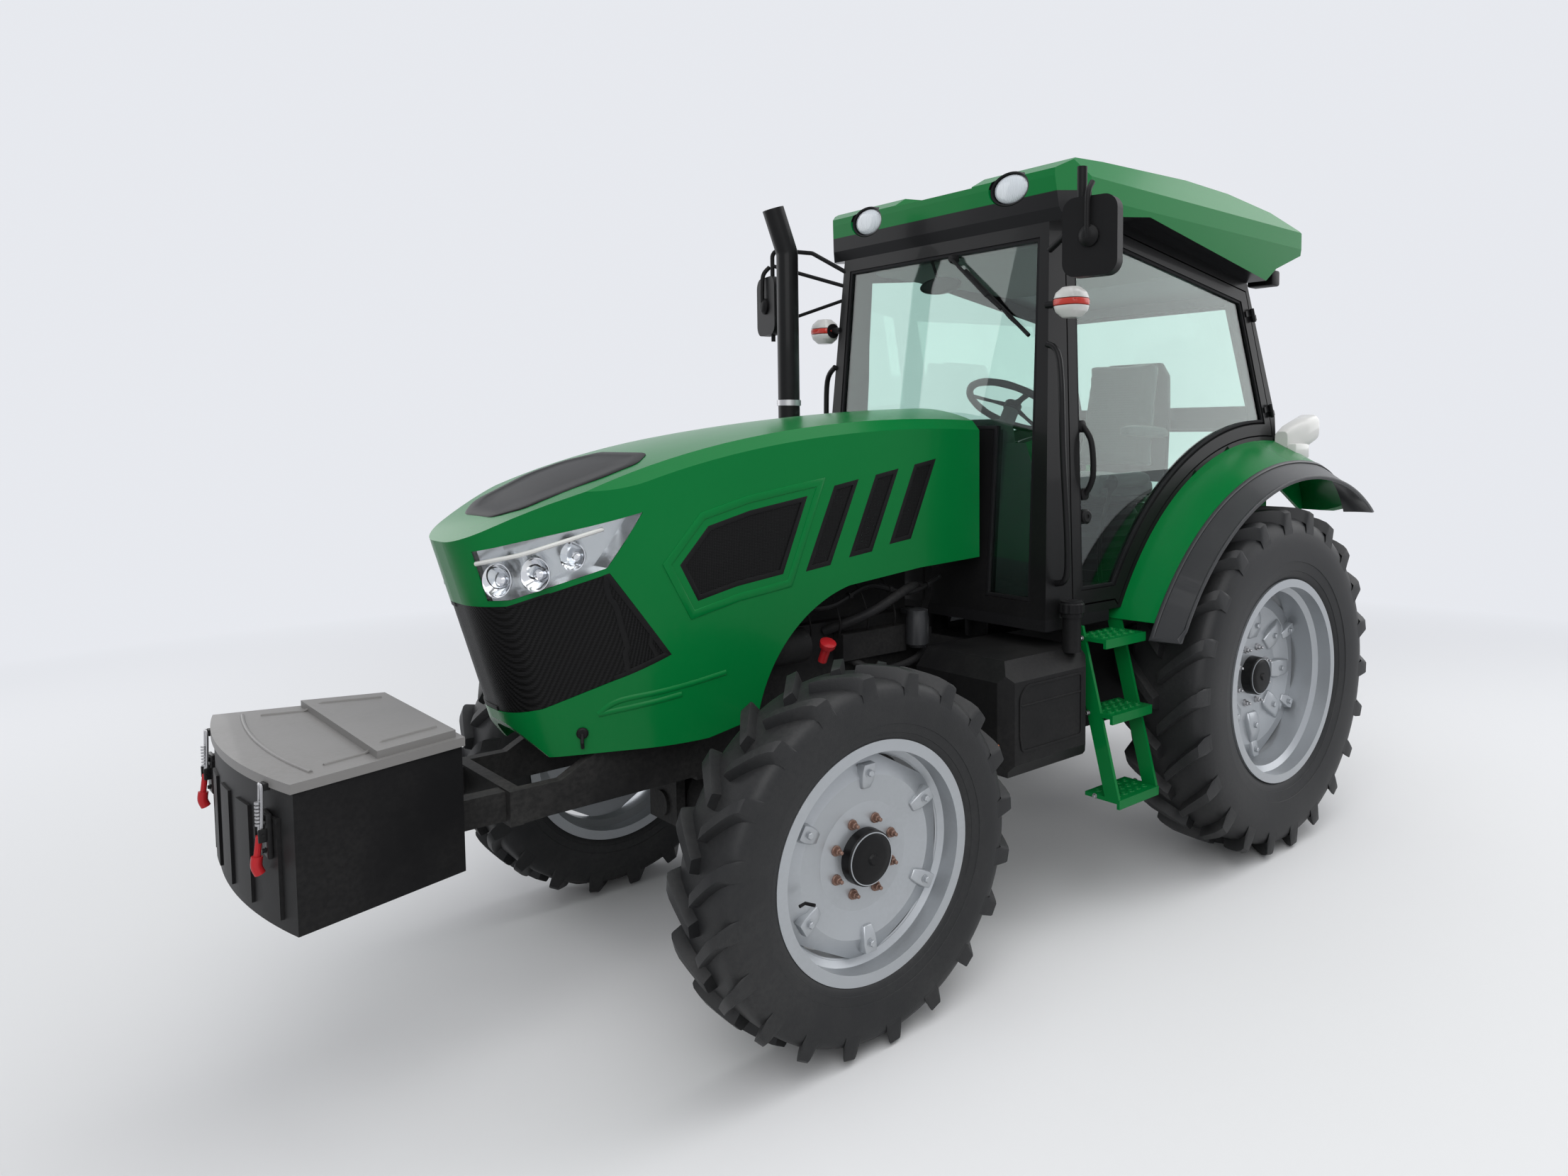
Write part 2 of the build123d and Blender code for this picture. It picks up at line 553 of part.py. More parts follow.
def box_plan(inset, z):
    """The front box in plan: narrow at the rear, bowed at the front."""
    rear, front = BOX_REAR_HALF_W - inset, BOX_FRONT_HALF_W - inset
    x0, x1, nose = BOX_X0 + inset, BOX_X1 - inset, BOX_NOSE_X - inset
    sides = Polyline([(x1, -front, z), (x0, -rear, z), (x0, rear, z), (x1, front, z)])
    bow = ThreePointArc((x1, front, z), (nose, 0, z), (x1, -front, z))
    return make_face([*sides.edges(), bow])


def front_box():
    """Open box with the fixed ends of the lid's hinge and their pin on its rear wall."""
    shell = extrude(box_plan(0, BOX_Z0), amount=BOX_Z1 - BOX_Z0, dir=(0, 0, 1))
    shell -= extrude(box_plan(BOX_WALL, BOX_Z0 + BOX_WALL), amount=BOX_Z1 - BOX_Z0, dir=(0, 0, 1))
    ribs = extrude(box_plan(-BOX_RIB_H, BOX_Z0 + 25), amount=BOX_Z1 - BOX_Z0 - 90, dir=(0, 0, 1))
    ribs -= extrude(box_plan(BOX_WALL / 2, BOX_Z0), amount=BOX_Z1 - BOX_Z0, dir=(0, 0, 1))
    for y in BOX_RIB_Y:
        shell += ribs & box((BOX_X1 - 60, BOX_NOSE_X + 50), (y - BOX_RIB_W / 2, y + BOX_RIB_W / 2), (BOX_Z0, BOX_Z1))
    x, _, z = LID_HINGE_AT
    for side in (-1, 1):
        near, far = side * (LID_BARREL_Y + 2), side * (LID_BARREL_Y + 42)
        shell += rod((x, near, z), (x, far, z), LID_BARREL_R)
        shell += box((x, BOX_X0), sorted((near, far)), (z - LID_BARREL_R, BOX_Z1 - 1))
    return shell + rod((x, -LID_BARREL_Y - 20, z), (x, LID_BARREL_Y + 20, z), LID_PIN_R)


def front_box_lid():
    """Lid with a raised rear half and its own barrel of the hinge."""
    low = BOX_Z1 + 1
    plate = extrude(box_plan(-BOX_RIB_H, low), amount=LID_T, dir=(0, 0, 1))
    raised = extrude(box_plan(10, low + LID_T), amount=LID_RISE, dir=(0, 0, 1))
    raised -= box((LID_STEP_X, BOX_NOSE_X + 50), (-BOX_FRONT_HALF_W, BOX_FRONT_HALF_W),
                  (low + LID_T, low + LID_T + 2 * LID_RISE))
    x, _, z = LID_HINGE_AT
    barrel = rod((x, -LID_BARREL_Y, z), (x, LID_BARREL_Y, z), LID_BARREL_R)
    leaf = box((x, BOX_X0 - 4), (-LID_BARREL_Y, LID_BARREL_Y), (z, z + LID_BARREL_R))
    bore = rod((x, -LID_BARREL_Y - 1, z), (x, LID_BARREL_Y + 1, z), LID_PIN_R + FIT)
    return fused([plate, raised, barrel, leaf]) - bore


nodes["front_box"] = front_box()
nodes["front_box_lid"] = front_box_lid()


# ---------------------------------------------------------------- cab
CAB_FRONT_TOP = (1050, 2400)
CAB_REAR_X = -440
CAB_REAR_BEND_Z = 1750
CAB_REAR_TOP = (-240, 2318)
CAB_SIDE_SLOPE = (CAB_LOW_HALF_W - CAB_TOP_HALF_W) / (CAB_TOP_Z - CAB_LOW_Z)
CAB_FRONT_SLOPE = (CAB_FRONT_LOW_X - CAB_FRONT_TOP[0]) / (CAB_FRONT_TOP[1] - CAB_LOW_Z)
WINDSHIELD = [(-560, 1095), (-345, 1095), (-345, 1690), (345, 1690), (345, 1095), (560, 1095),
              (520, 2352), (-520, 2352)]
REAR_WINDOW = [(-488, 1785), (488, 1785), (468, 2230), (-468, 2230)]
LOW_REAR_WINDOW = [(-465, 1330), (465, 1330), (480, 1700), (-480, 1700)]
DOOR_FRONT_LOW_X = 1000
DOOR_LOW_Z = 1075
DOOR_STILE = 46
HINGE_LOW = (-405, 1720)    # two points of the door's hinge line in side view
HINGE_TOP = (-232, 2268)
HINGE_OUT = 13       # hinge line outside the cab's face
HINGE_PLACES = (0.10, 0.84)  # of the way up the hinge line
DOOR = [
    (DOOR_FRONT_LOW_X, DOOR_LOW_Z), (965, 2372), (640, 2410), (-225, 2276), (-400, 1720), (-420, 1560),
    (200, 1000), (700, 1000), (760, DOOR_LOW_Z),
]


def half_width(z):
    """Half the cab's width at a height, its sides leaning in towards the roof."""
    return CAB_LOW_HALF_W - CAB_SIDE_SLOPE * (z - CAB_LOW_Z)


def cab_block(inset, low=CAB_LOW_Z):
    """The cab's outer form, or the same form a distance inside it."""
    front_low_x = CAB_FRONT_LOW_X + CAB_FRONT_SLOPE * (CAB_LOW_Z - low)
    corners = [(front_low_x, low), CAB_FRONT_TOP, (640, CAB_TOP_Z), CAB_REAR_TOP,
               (CAB_REAR_X, CAB_REAR_BEND_Z), (CAB_REAR_X, low)]
    side = side_prism(corners, (-700, 700), -inset)
    low_half, high_half = half_width(900) - inset, half_width(2600) - inset
    front = front_prism(
        [(-low_half, 900), (low_half, 900), (high_half, 2600), (-high_half, 2600)], (-700, 1400))
    return side & front


def side_slab(near, far):
    """Leaning slab of the cab's left side between two depths below its outer face."""
    low, high = half_width(900), half_width(2600)
    return front_prism([(low - far, 900), (low - near, 900), (high - near, 2600), (high - far, 2600)],
                       (-700, 1400))


# y, x and z of the front arc's middle, its radius, x where the rear arc takes over, the rear arc's radius
ARCH_INNER = (WALL_Y, -362, 405, FENDER_R + 73, -420, 390)
ARCH_OUTER = (FENDER_OUT_Y, -272, 368, FENDER_R, -420, 390)
ARCH_LIP = (FLARE_OUT_Y, -206, 420, FENDER_R - 109, -500, 800)
ARCH_FOOT_Z = -300


def arch_outline(section, inset):
    """Side view of the fender at one y: a long front arc and a tighter rear arc, open below."""
    y, cx, cz, front_r, joint_x, rear_r = section
    across = (joint_x - cx) / front_r
    up = (1 - across ** 2) ** 0.5
    rear_x, rear_z = cx + across * (front_r - rear_r), cz + up * (front_r - rear_r)
    front_r, rear_r = front_r - inset, rear_r - inset
    half_turn = math.radians(45)
    side = (across - 1) / 2, up / 2
    length = math.hypot(*side)
    joint = (rear_x + across * rear_r, y, rear_z + up * rear_r)
    rear_end, front_end = (rear_x - rear_r, y, rear_z), (cx + front_r, y, cz)
    rear_mid = (rear_x + side[0] / length * rear_r, y, rear_z + side[1] / length * rear_r)
    front_mid = (cx + front_r * math.cos(half_turn), y, cz + front_r * math.sin(half_turn))
    low = [(front_end[0], y, ARCH_FOOT_Z), (rear_end[0], y, ARCH_FOOT_Z)]
    feet = Polyline([front_end, *low, rear_end])
    return make_face([*feet.edges(), ThreePointArc(rear_end, rear_mid, joint),
                      ThreePointArc(joint, front_mid, front_end)])


def arch_form(inset, near=ARCH_INNER, far=ARCH_OUTER):
    """Blank of the space under the fender between two of its sections, grown by a negative inset."""
    return loft([arch_outline(near, inset), arch_outline(far, inset)], ruled=True)


def door_blank(grow):
    """The door in side view: round the fender below, along the pillars elsewhere."""
    return side_prism(DOOR, (ARCH_INNER[0] + 1, ARCH_OUTER[0] - 1), grow) - arch_form(-DOOR_FENDER_GAP + grow)


cab_outer = cab_block(0)
cab_inner = cab_block(CAB_T, CAB_LOW_Z - 130)
cab_frame = cab_outer - cab_inner
for opening in (
    front_prism(WINDSHIELD, (900, 1300)),
    front_prism(REAR_WINDOW, (-600, -150)),
    front_prism(LOW_REAR_WINDOW, (-600, -150)),
    door_blank(PANEL_GAP),
    mirrored(door_blank(PANEL_GAP)),
    arch_form(-SEAT_GAP),
    mirrored(arch_form(-SEAT_GAP)),
):
    cab_frame -= opening
glass_layer = cab_block(12, 1000) - cab_block(12 + GLASS_T, 1000)
cab_glass = [
    glass_layer & front_prism(WINDSHIELD, (900, 1300), -0.5),
    glass_layer & front_prism(REAR_WINDOW, (-600, -150), -0.5),
    glass_layer & front_prism(LOW_REAR_WINDOW, (-600, -150), -0.5),
]
door_frame = (side_slab(0, DOOR_T) & door_blank(0)) - door_blank(-DOOR_STILE)


def hinge_point(share):
    """Point of the left door's hinge line, a share of the way up."""
    (x0, z0), (x1, z1) = HINGE_LOW, HINGE_TOP
    low = Vector(x0, half_width(z0) + HINGE_OUT, z0)
    return low + share * (Vector(x1, half_width(z1) + HINGE_OUT, z1) - low)


hinge_line = (hinge_point(1) - hinge_point(0)).normalized()
for share in HINGE_PLACES:
    place = Plane(origin=hinge_point(share), x_dir=hinge_line.cross(Vector(0, 1, 0)) * -1, z_dir=hinge_line)
    upper, lower = (Align.CENTER, Align.CENTER, Align.MIN), (Align.CENTER, Align.CENTER, Align.MAX)
    bore = Cylinder(DOOR_PIN_R + FIT, 60)
    barrel = Pos(0, 0, 1) * Cylinder(DOOR_BARREL_R, 28, align=upper)
    leaf = box((0, 40), (-HINGE_OUT - 1, -HINGE_OUT + 7), (3, 27))
    door_frame = door_frame + place * (barrel + leaf - bore)
    seat_block = Cylinder(DOOR_BARREL_R, 28, align=lower) + box((-20, 0), (-HINGE_OUT - 1, 2), (-26, -2))
    hinge_post = place * (seat_block + Cylinder(DOOR_PIN_R, 56))
    cab_frame = cab_frame + hinge_post + mirrored(hinge_post)
door_pane = side_slab(14, 14 + GLASS_T) & door_blank(-DOOR_STILE - 0.5)


def cab_floor():
    """Floor between the wheel houses, on four mounts."""
    floor_z = (CAB_LOW_Z - FLOOR_T, CAB_LOW_Z)
    corners = [(CAB_REAR_X, WALL_Y), (800, WALL_Y), (800, CAB_LOW_HALF_W), (CAB_FRONT_LOW_X, CAB_LOW_HALF_W)]
    plate = plan_prism(corners + [(x, -y) for x, y in reversed(corners)], floor_z)
    mounts = [rod((x, y, z), (x, y, floor_z[0]), 45)
              for x, z in ((-120, REAR_CASE_Z), (560, GEARBOX_Z), (950, GEARBOX_Z)) for y in (-110, 110)]
    return fused([plate, *mounts])


STEER_HUB = (620, 1790)
STEER_AXIS = (-0.5, 0.866)
STEER_R = 190
STEER_SHAFT_R = 12


def along_column(distance):
    """Point on the steering axis, a distance above the wheel's hub."""
    return STEER_HUB[0] + STEER_AXIS[0] * distance, 0, STEER_HUB[1] + STEER_AXIS[1] * distance


def dashboard():
    """Console with a sloping top, the steering column and its shaft."""
    console = side_prism([(700, CAB_LOW_Z), (760, 1480), (830, 1640), (1000, 1640), (1040, 1500),
                          (1040, CAB_LOW_Z)], (-260, 260))
    column = rod(along_column(-340), along_column(-18 - SEAT_GAP), 32)
    shaft = rod(along_column(-60), along_column(8), STEER_SHAFT_R)
    return fused([console, column, shaft])


def seat():
    base = box((-90, 260), (-170, 170), (CAB_LOW_Z, 1360))
    cushion = box((-130, 330), (-240, 240), (1360, 1480))
    back = side_prism([(-130, 1480), (-30, 1480), (-130, 2010), (-220, 2010)], (-220, 220))
    return fused([base, cushion, back])


def steering_wheel():
    """Rim, three spokes and a hub bored for the column's shaft."""
    section = Pos(STEER_R, 0) * Rot(0, 0, 22.5) * RegularPolygon(15, 8)
    hoop = revolve(Plane.XZ * section, axis=Axis.Z, revolution_arc=360)
    hub = Cylinder(36, 36)
    spokes = [Rot(0, 0, a) * Pos(STEER_R / 2, 0, 0) * Box(STEER_R, 26, 10) for a in (90, 210, 330)]
    bore = Pos(0, 0, -18) * Cylinder(STEER_SHAFT_R + FIT, 52)
    place = Plane(origin=along_column(0), x_dir=(0, 1, 0), z_dir=(STEER_AXIS[0], 0, STEER_AXIS[1]))
    return place * (fused([hoop, hub, *spokes]) - bore)


ROOF_HALF_W = 690
ROOF_FRONT_X = 1075
ROOF_REAR_X = -535
POD_Y = (235, 615)   # raised corner pods, from the middle outward
LAMP_Y = 390
LAMP_Z = 2535
LAMP_SIZE = (96, 60) # half width and half height of a roof lamp


def roof():
    """Roof with bevelled sides, two raised front pods and a dark sloping underside, past the cab all round."""
    x0, x1 = ROOF_REAR_X, ROOF_FRONT_X
    top = side_prism(
        [CAB_FRONT_TOP, (640, CAB_TOP_Z), CAB_REAR_TOP, (-300, 2372), (x0 + 40, 2452), (x0, 2482),
         (x0 + 80, 2548), (-290, 2608), (0, 2646), (300, 2652), (850, 2622), (x1 - 60, 2606), (x1, 2570),
         (x1, 2545), (x1 - 10, 2440)], (-ROOF_HALF_W - 10, ROOF_HALF_W + 10))
    half = ROOF_HALF_W
    ends = front_prism([(-half + 45, 2280), (-half, 2470), (-half, 2540), (-half + 95, 2670), (half - 95, 2670),
                        (half, 2540), (half, 2470), (half - 45, 2280)], (-700, 1300))
    plan = plan_prism([(x0 - 5, -half + 90), (x0 + 65, -half), (x1 - 90, -half), (x1 + 5, -half + 90),
                       (x1 + 5, half - 90), (x1 - 90, half), (x0 + 65, half), (x0 - 5, half - 90)], (2250, 2700))
    whole = top & ends & plan
    near, far = POD_Y
    dip = front_prism([(-near, 2700), (-near + 25, 2566), (near - 25, 2566), (near, 2700)], (x1 - 190, x1 + 10))
    step = side_prism([(x1 - 190, 2700), (x1 - 190, 2614), (x1 - 130, 2560), (x1 + 10, 2560), (x1 + 10, 2700)],
                      (-near, near))
    whole -= dip & step
    for y in (-LAMP_Y, LAMP_Y):
        whole -= lamp_blank(y, SEAT_GAP)
    return whole


def lamp_blank(y, grow=0):
    """Oval blank of a roof lamp, set into the front of the roof."""
    oval = Plane(origin=(ROOF_FRONT_X - 75 - grow, y, LAMP_Z), x_dir=(0, 1, 0), z_dir=(1, 0, 0))
    return extrude(oval * Ellipse(LAMP_SIZE[0] + grow, LAMP_SIZE[1] + grow), amount=60 + (40 if grow else 0))


nodes["cab_frame"] = cab_frame
nodes["cab_glass"] = cab_glass
nodes["cab_floor"] = cab_floor()
nodes["dashboard"] = dashboard()
nodes["seat"] = seat()
nodes["steering_wheel"] = steering_wheel()
nodes["roof"] = roof()
nodes["door_left"] = door_frame
nodes["door_right"] = mirrored(door_frame)
nodes["door_left_glass"] = door_pane
nodes["door_right_glass"] = mirrored(door_pane)


# ---------------------------------------------------------------- fenders, steps and tanks
def fender():
    """Arch over the wheel with the wheel house's inner wall beside the cab."""
    floor_z, rear_x = CAB_LOW_Z - FLOOR_T, CAB_REAR_X
    wall_inner = (ARCH_INNER[0] + WALL_T, *ARCH_INNER[1:])
    hoop = arch_form(0) - arch_form(FENDER_T, wall_inner, (ARCH_OUTER[0] + 5, *ARCH_OUTER[1:]))
    below = [(-3000, FENDER_FOOT_Z), (rear_x - 308, FENDER_FOOT_Z), (rear_x - 120, FENDER_FOOT_Z + 105),
             (rear_x, FENDER_FOOT_Z + 105), (rear_x, floor_z), (3000, floor_z), (3000, -900), (-3000, -900)]
    return hoop - side_prism(below, (0, 1500))


def flare():
    """Rubber lip bolted to the fender's outer edge."""
    lip = arch_form(2, ARCH_OUTER, ARCH_LIP) - arch_form(2 + FLARE_T, ARCH_OUTER, ARCH_LIP)
    below = [(-3000, FENDER_FOOT_Z), (-600, FENDER_FOOT_Z), (0, CAB_LOW_Z - FLOOR_T - 60),
             (3000, CAB_LOW_Z - FLOOR_T - 60), (3000, -900), (-3000, -900)]
    return lip - side_prism(below, (0, 1500))


def step():
    """Ladder of three treads between two rails, hung below the door."""
    rails = []
    for x in (735, 955):
        rails.append(front_prism([(585, 1000), (645, 1000), (812, 400), (752, 400)], (x, x + 12)))
    treads = []
    for y, z in ((600, 950), (630, 690), (662, 400)):
        treads.append(box((735, 967), (y, y + 150), (z, z + 14)))
        treads.append(box((735, 967), (y + 138, y + 150), (z - 18, z + 14)))
    return fused([*rails, *treads])


def fuel_tank():
    """Moulded tank with its filler neck, on two brackets."""
    tank = plan_prism([(1005, 300), (1005, 690), (1040, 720), (1400, 720), (1440, 680), (1440, 300)],
                      (560, 940))
    tank &= front_prism([(300, 560), (680, 560), (720, 610), (720, 880), (660, 940), (300, 940)], (1000, 1450))
    tank &= side_prism([(1005, 560), (1390, 560), (1440, 620), (1440, 880), (1385, 940), (1005, 940)], (250, 760))
    neck = rod((1070, 682, 930), (1070, 682, 1070), 32) + rod((1070, 682, 1050), (1070, 682, 1105), 38)
    arms = [box((x, x + 40), (GEARBOX_HALF_W, 310), (600, 640)) for x in (1080, 1220)]
    return fused([tank, neck, *arms])


def battery_box():
    tank = box((1005, 1400), (-660, -300), (580, 900))
    arms = [box((x, x + 40), (-310, -GEARBOX_HALF_W), (600, 640)) for x in (1080, 1220)]
    return fused([tank, *arms])


nodes["fenders"] = both_sides(fender())
nodes["fender_flares"] = both_sides(flare())
nodes["steps"] = both_sides(step())
nodes["fuel_tank"] = fuel_tank()
nodes["battery_box"] = battery_box()


# ---------------------------------------------------------------- exhaust, mirrors, lamps
def exhaust():
    """Silencer pipe up the right side, its tip bent forward."""
    x, y = ENGINE_X0 + 100, -480
    up = pipe([(x, -200, EXHAUST_Z), (x, y, EXHAUST_Z), (x, y, 2380), (x + 55, y - 12, 2545)], 42, 70)
    shield = rod((x, y, 1300), (x, y, 1720), 56)
    return fused([up, shield])


MIRROR_AT = (1212, 872, 2285)
RIGHT_MIRROR_DROP = 60
MIRROR_SIZE = (245, 190, 40)
MIRROR_TURN = 12     # degrees that a mirror looks inward


def pillar_point(z, depth=20):
    """Point inside the left front pillar at a height."""
    return 1040, half_width(z) - depth, z


def mirror_plate(drop=0):
    """Housing of a mirror with rounded corners."""
    tall, wide_y, deep = MIRROR_SIZE
    x, y, z = MIRROR_AT
    blank = Rot(0, 90, 0) * extrude(RectangleRounded(tall, wide_y, 45), amount=deep)
    return Pos(x, y, z - drop) * Rot(0, 0, MIRROR_TURN) * Pos(-deep / 2, 0, 0) * blank


def left_mirror():
    """Mirror behind an upright arm that is carried from the front pillar."""
    x, y, z = MIRROR_AT
    arm = pipe([pillar_point(2300), (1110, 690, 2335), (x - 12, y - 50, 2372)], 11, 40)
    upright = rod((x - 12, y - 50, z - 90), (x - 12, y - 50, z + 225), 16)
    return fused([mirror_plate(), upright, arm]) - cab_outer


def right_mirror():
    """Mirror in a frame of two tubes from the front pillar, with a stay below, drawn on the left."""
    x, y, z = MIRROR_AT
    out = (x + 5, y - 30)
    top = pipe([pillar_point(2345), (1120, 690, 2440), (*out, 2462), (*out, z - RIGHT_MIRROR_DROP - 150)], 9, 30)
    second = rod(pillar_point(2290), (*out, 2395), 8)
    stay = rod(pillar_point(2245), (*out, z - RIGHT_MIRROR_DROP - 80), 7)
    return fused([mirror_plate(RIGHT_MIRROR_DROP), top, second, stay]) - cab_outer


def signal_lamp():
    """Turn signal on a stalk at the front pillar."""
    z = 2112
    out = half_width(z)
    signal = box((1020, 1120), (out + 40, out + 160), (z - 50, z + 52))
    stalk = box((1060, 1080), (out - 10, out + 50), (z - 10, z + 10))
    return signal + stalk - cab_outer


def tail_lamp():
    """Horn-shaped rear lamp that sits on the fender behind the door's hinges."""
    side = side_prism([(-425, 1560), (-425, 1690), (-480, 1732), (-600, 1764), (-620, 1755), (-606, 1650),
                       (-540, 1625), (-520, 1560)], (605, 715))
    ends = front_prism([(605, 1560), (605, 1770), (690, 1770), (715, 1735), (715, 1560)], (-640, -420))
    return (side & ends) - arch_form(-SEAT_GAP) - cab_outer


nodes["exhaust"] = exhaust()
nodes["mirrors"] = [left_mirror(), mirrored(right_mirror())]
nodes["lamps"] = [*both_sides(lamp_blank(LAMP_Y)), *both_sides(signal_lamp()), *both_sides(tail_lamp())]


# ---------------------------------------------------------------- rear hitch
def link_point(distance, pivot):
    """Point that lies a distance rearward along the lower links' slope from a pivot (x, z)."""
    run = distance / (1 + LINK_SLOPE ** 2) ** 0.5
    return pivot[0] - run, pivot[1] + LINK_SLOPE * run


ARM_END = link_point(LIFT_ARM, ROCKSHAFT)
ROD_FOOT = link_point(LIFT_ARM, LINK_PIVOT)
LINK_END = link_point(LINK_LENGTH, LINK_PIVOT)
LINK_T = 24
LINK_Y_AT_ROD = LINK_PIVOT_Y + (LINK_END_Y - LINK_PIVOT_Y) * LIFT_ARM / LINK_LENGTH
ROD_Y = LINK_Y_AT_ROD + 44
PIN_R = 12
TOP_LINK_PIN = (-440, 865)
TOP_LINK_END = (-575, 1345)
TOP_LINK_R = 17


def along_top_link(share):
    """Point on the top link's middle line, a share of the way from its pin to its free end."""
    (x0, z0), (x1, z1) = TOP_LINK_PIN, TOP_LINK_END
    return x0 + share * (x1 - x0), 0, z0 + share * (z1 - z0)


def hitch_frame():
    """Drawbar, power take-off shaft, top link bracket and its hook, and the lower link pins."""
    drawbar = box((-600, -100), (-35, 35), (395, 425)) - rod((-565, 0, 380), (-565, 0, 440), DRAWBAR_HOLE_R)
    hanger = box((-250, -120), (-60, 60), (425, 480))
    shaft = rod((-260, 0, PTO_Z), (-260 - PTO_LENGTH, 0, PTO_Z), PTO_R)
    pin = rod((LINK_PIVOT[0], GEARBOX_HALF_W, LINK_PIVOT[1]),
              (LINK_PIVOT[0], LINK_PIVOT_Y + 22, LINK_PIVOT[1]), PIN_R + 6)
    ears = [side_prism([(-400, 780), (-470, 830), (-470, 900), (-400, 920)], (y - 9, y + 9))
            - rod((TOP_LINK_PIN[0], y - 12, TOP_LINK_PIN[1]), (TOP_LINK_PIN[0], y + 12, TOP_LINK_PIN[1]),
                  PIN_R + FIT) for y in (-38, 38)]
    hook = side_prism([(CAB_REAR_X, 1262), (CAB_REAR_X, 1278), (TOP_LINK_END[0] + 4, 1278), (TOP_LINK_END[0] + 4, 1262)],
                      (-22, 22)) - rod(along_top_link(0.6), along_top_link(1), TOP_LINK_R + SEAT_GAP)
    return [drawbar + hanger - nodes["transmission"], shaft, *both_sides(pin), *ears, hook]


def lift_arms():
    """Lift shaft across the back with an arm at each end."""
    shaft = rod((ROCKSHAFT[0], -ROD_Y + 10, ROCKSHAFT[1]), (ROCKSHAFT[0], ROD_Y - 24, ROCKSHAFT[1]), SHAFT_R)
    arm = rod((ROCKSHAFT[0], ROD_Y - 46, ROCKSHAFT[1]), (ROCKSHAFT[0], ROD_Y - 20, ROCKSHAFT[1]), 48)
    x0, z0, x1, z1 = *ROCKSHAFT, *ARM_END
    arm += side_prism([(x0, z0 + 40), (x1 - 20, z1 + 22), (x1 - 20, z1 - 22), (x0, z0 - 40)],
                      (ROD_Y - 42, ROD_Y - 20))
    arm += rod((x1, ROD_Y - 42, z1), (x1, ROD_Y - 20, z1), 22)
    arm += rod((x1, ROD_Y - 42, z1), (x1, ROD_Y + 18, z1), PIN_R)
    return fused([shaft, arm, mirrored(arm)])


def lift_rod():
    """Link from the lift arm down to the lower link, an eye at each end."""
    top, foot = (ARM_END[0], ROD_Y, ARM_END[1]), (ROD_FOOT[0], ROD_Y, ROD_FOOT[1])
    bar = rod(top, foot, 12)
    for point, hole in ((top, PIN_R + FIT), (foot, PIN_R + 1)):
        eye = rod((point[0], point[1] - 9, point[2]), (point[0], point[1] + 9, point[2]), 24)
        bar += eye
        bar -= rod((point[0], point[1] - 12, point[2]), (point[0], point[1] + 12, point[2]), hole)
    return bar


def lower_link():
    """Lower link with its front eye, lift-rod pin and ball end."""
    half, tall = LINK_T / 2, 30
    (x0, z0), (x1, z1) = LINK_PIVOT, LINK_END
    bar = plan_prism([(x0, LINK_PIVOT_Y - half), (x0, LINK_PIVOT_Y + half),
                      (x1 + 10, LINK_END_Y + half), (x1 + 10, LINK_END_Y - half)], (z0 - tall, z0 + tall))
    bar = turned(bar, math.degrees(math.atan(LINK_SLOPE)), x0, z0)
    ball = rod((x1, LINK_END_Y - 22, z1), (x1, LINK_END_Y + 22, z1), 36)
    eye = rod((x0, LINK_PIVOT_Y - 20, z0), (x0, LINK_PIVOT_Y + 20, z0), 38)
    x2, z2 = ROD_FOOT
    pin = rod((x2, LINK_Y_AT_ROD, z2), (x2, ROD_Y + 14, z2), PIN_R)
    whole = fused([bar, ball, eye, pin])
    whole -= rod((x1, LINK_END_Y - 40, z1), (x1, LINK_END_Y + 40, z1), LINK_BALL_R)
    return whole - rod((x0, LINK_PIVOT_Y - 40, z0), (x0, LINK_PIVOT_Y + 40, z0), PIN_R + 6 + FIT)


def top_link():
    """Top link folded up against the cab, pinned below and bored at its free end."""
    low = (TOP_LINK_PIN[0], 0, TOP_LINK_PIN[1])
    high = (TOP_LINK_END[0], 0, TOP_LINK_END[1])
    whole = rod(low, high, TOP_LINK_R)
    for x, _, z in (low, high):
        whole += rod((x, -25, z), (x, 25, z), 30)
    whole -= rod((high[0], -30, high[2]), (high[0], 30, high[2]), TOP_LINK_BORE_R)
    return whole + rod((low[0], -50, low[2]), (low[0], 50, low[2]), PIN_R)


nodes["hitch_frame"] = hitch_frame()
nodes["lift_arms"] = lift_arms()
nodes["lift_rods"] = both_sides(lift_rod())
nodes["lower_links"] = both_sides(lower_link())
nodes["top_link"] = top_link()


# ---------------------------------------------------------------- writing
def solids_of(piece):
    pieces = piece if isinstance(piece, list) else [piece]
    return [solid for one in pieces for solid in one.solids()]


everything = [solid for piece in nodes.values() for solid in solids_of(piece)]
low_x = min(solid.bounding_box().min.X for solid in everything)
high_x = max(solid.bounding_box().max.X for solid in everything)
X_SHIFT = -(low_x + high_x) / 2
print("x shift", round(X_SHIFT, 3), "length", round(high_x - low_x, 1))

os.makedirs("parts", exist_ok=True)
for name, piece in nodes.items():
    solids = [Pos(X_SHIFT, 0, 0) * solid for solid in solids_of(piece)]
    whole = solids[0] if len(solids) == 1 else Compound(children=solids)
    export_step(whole, f"parts/{name}.step")
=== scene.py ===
# %% [markdown]
# # A farm tractor with a cab
# The tractor's solids are already packed with their joints. This notebook dresses them: it gives each
# solid a finish, swaps the plain tyres, lamps and seat for finer ones, and adds what is too small for the
# solids, such as bolts, pipes, seals and latches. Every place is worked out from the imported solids.

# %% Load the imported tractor
import json
import math

import bmesh
import bpy
from mathutils import Matrix, Vector


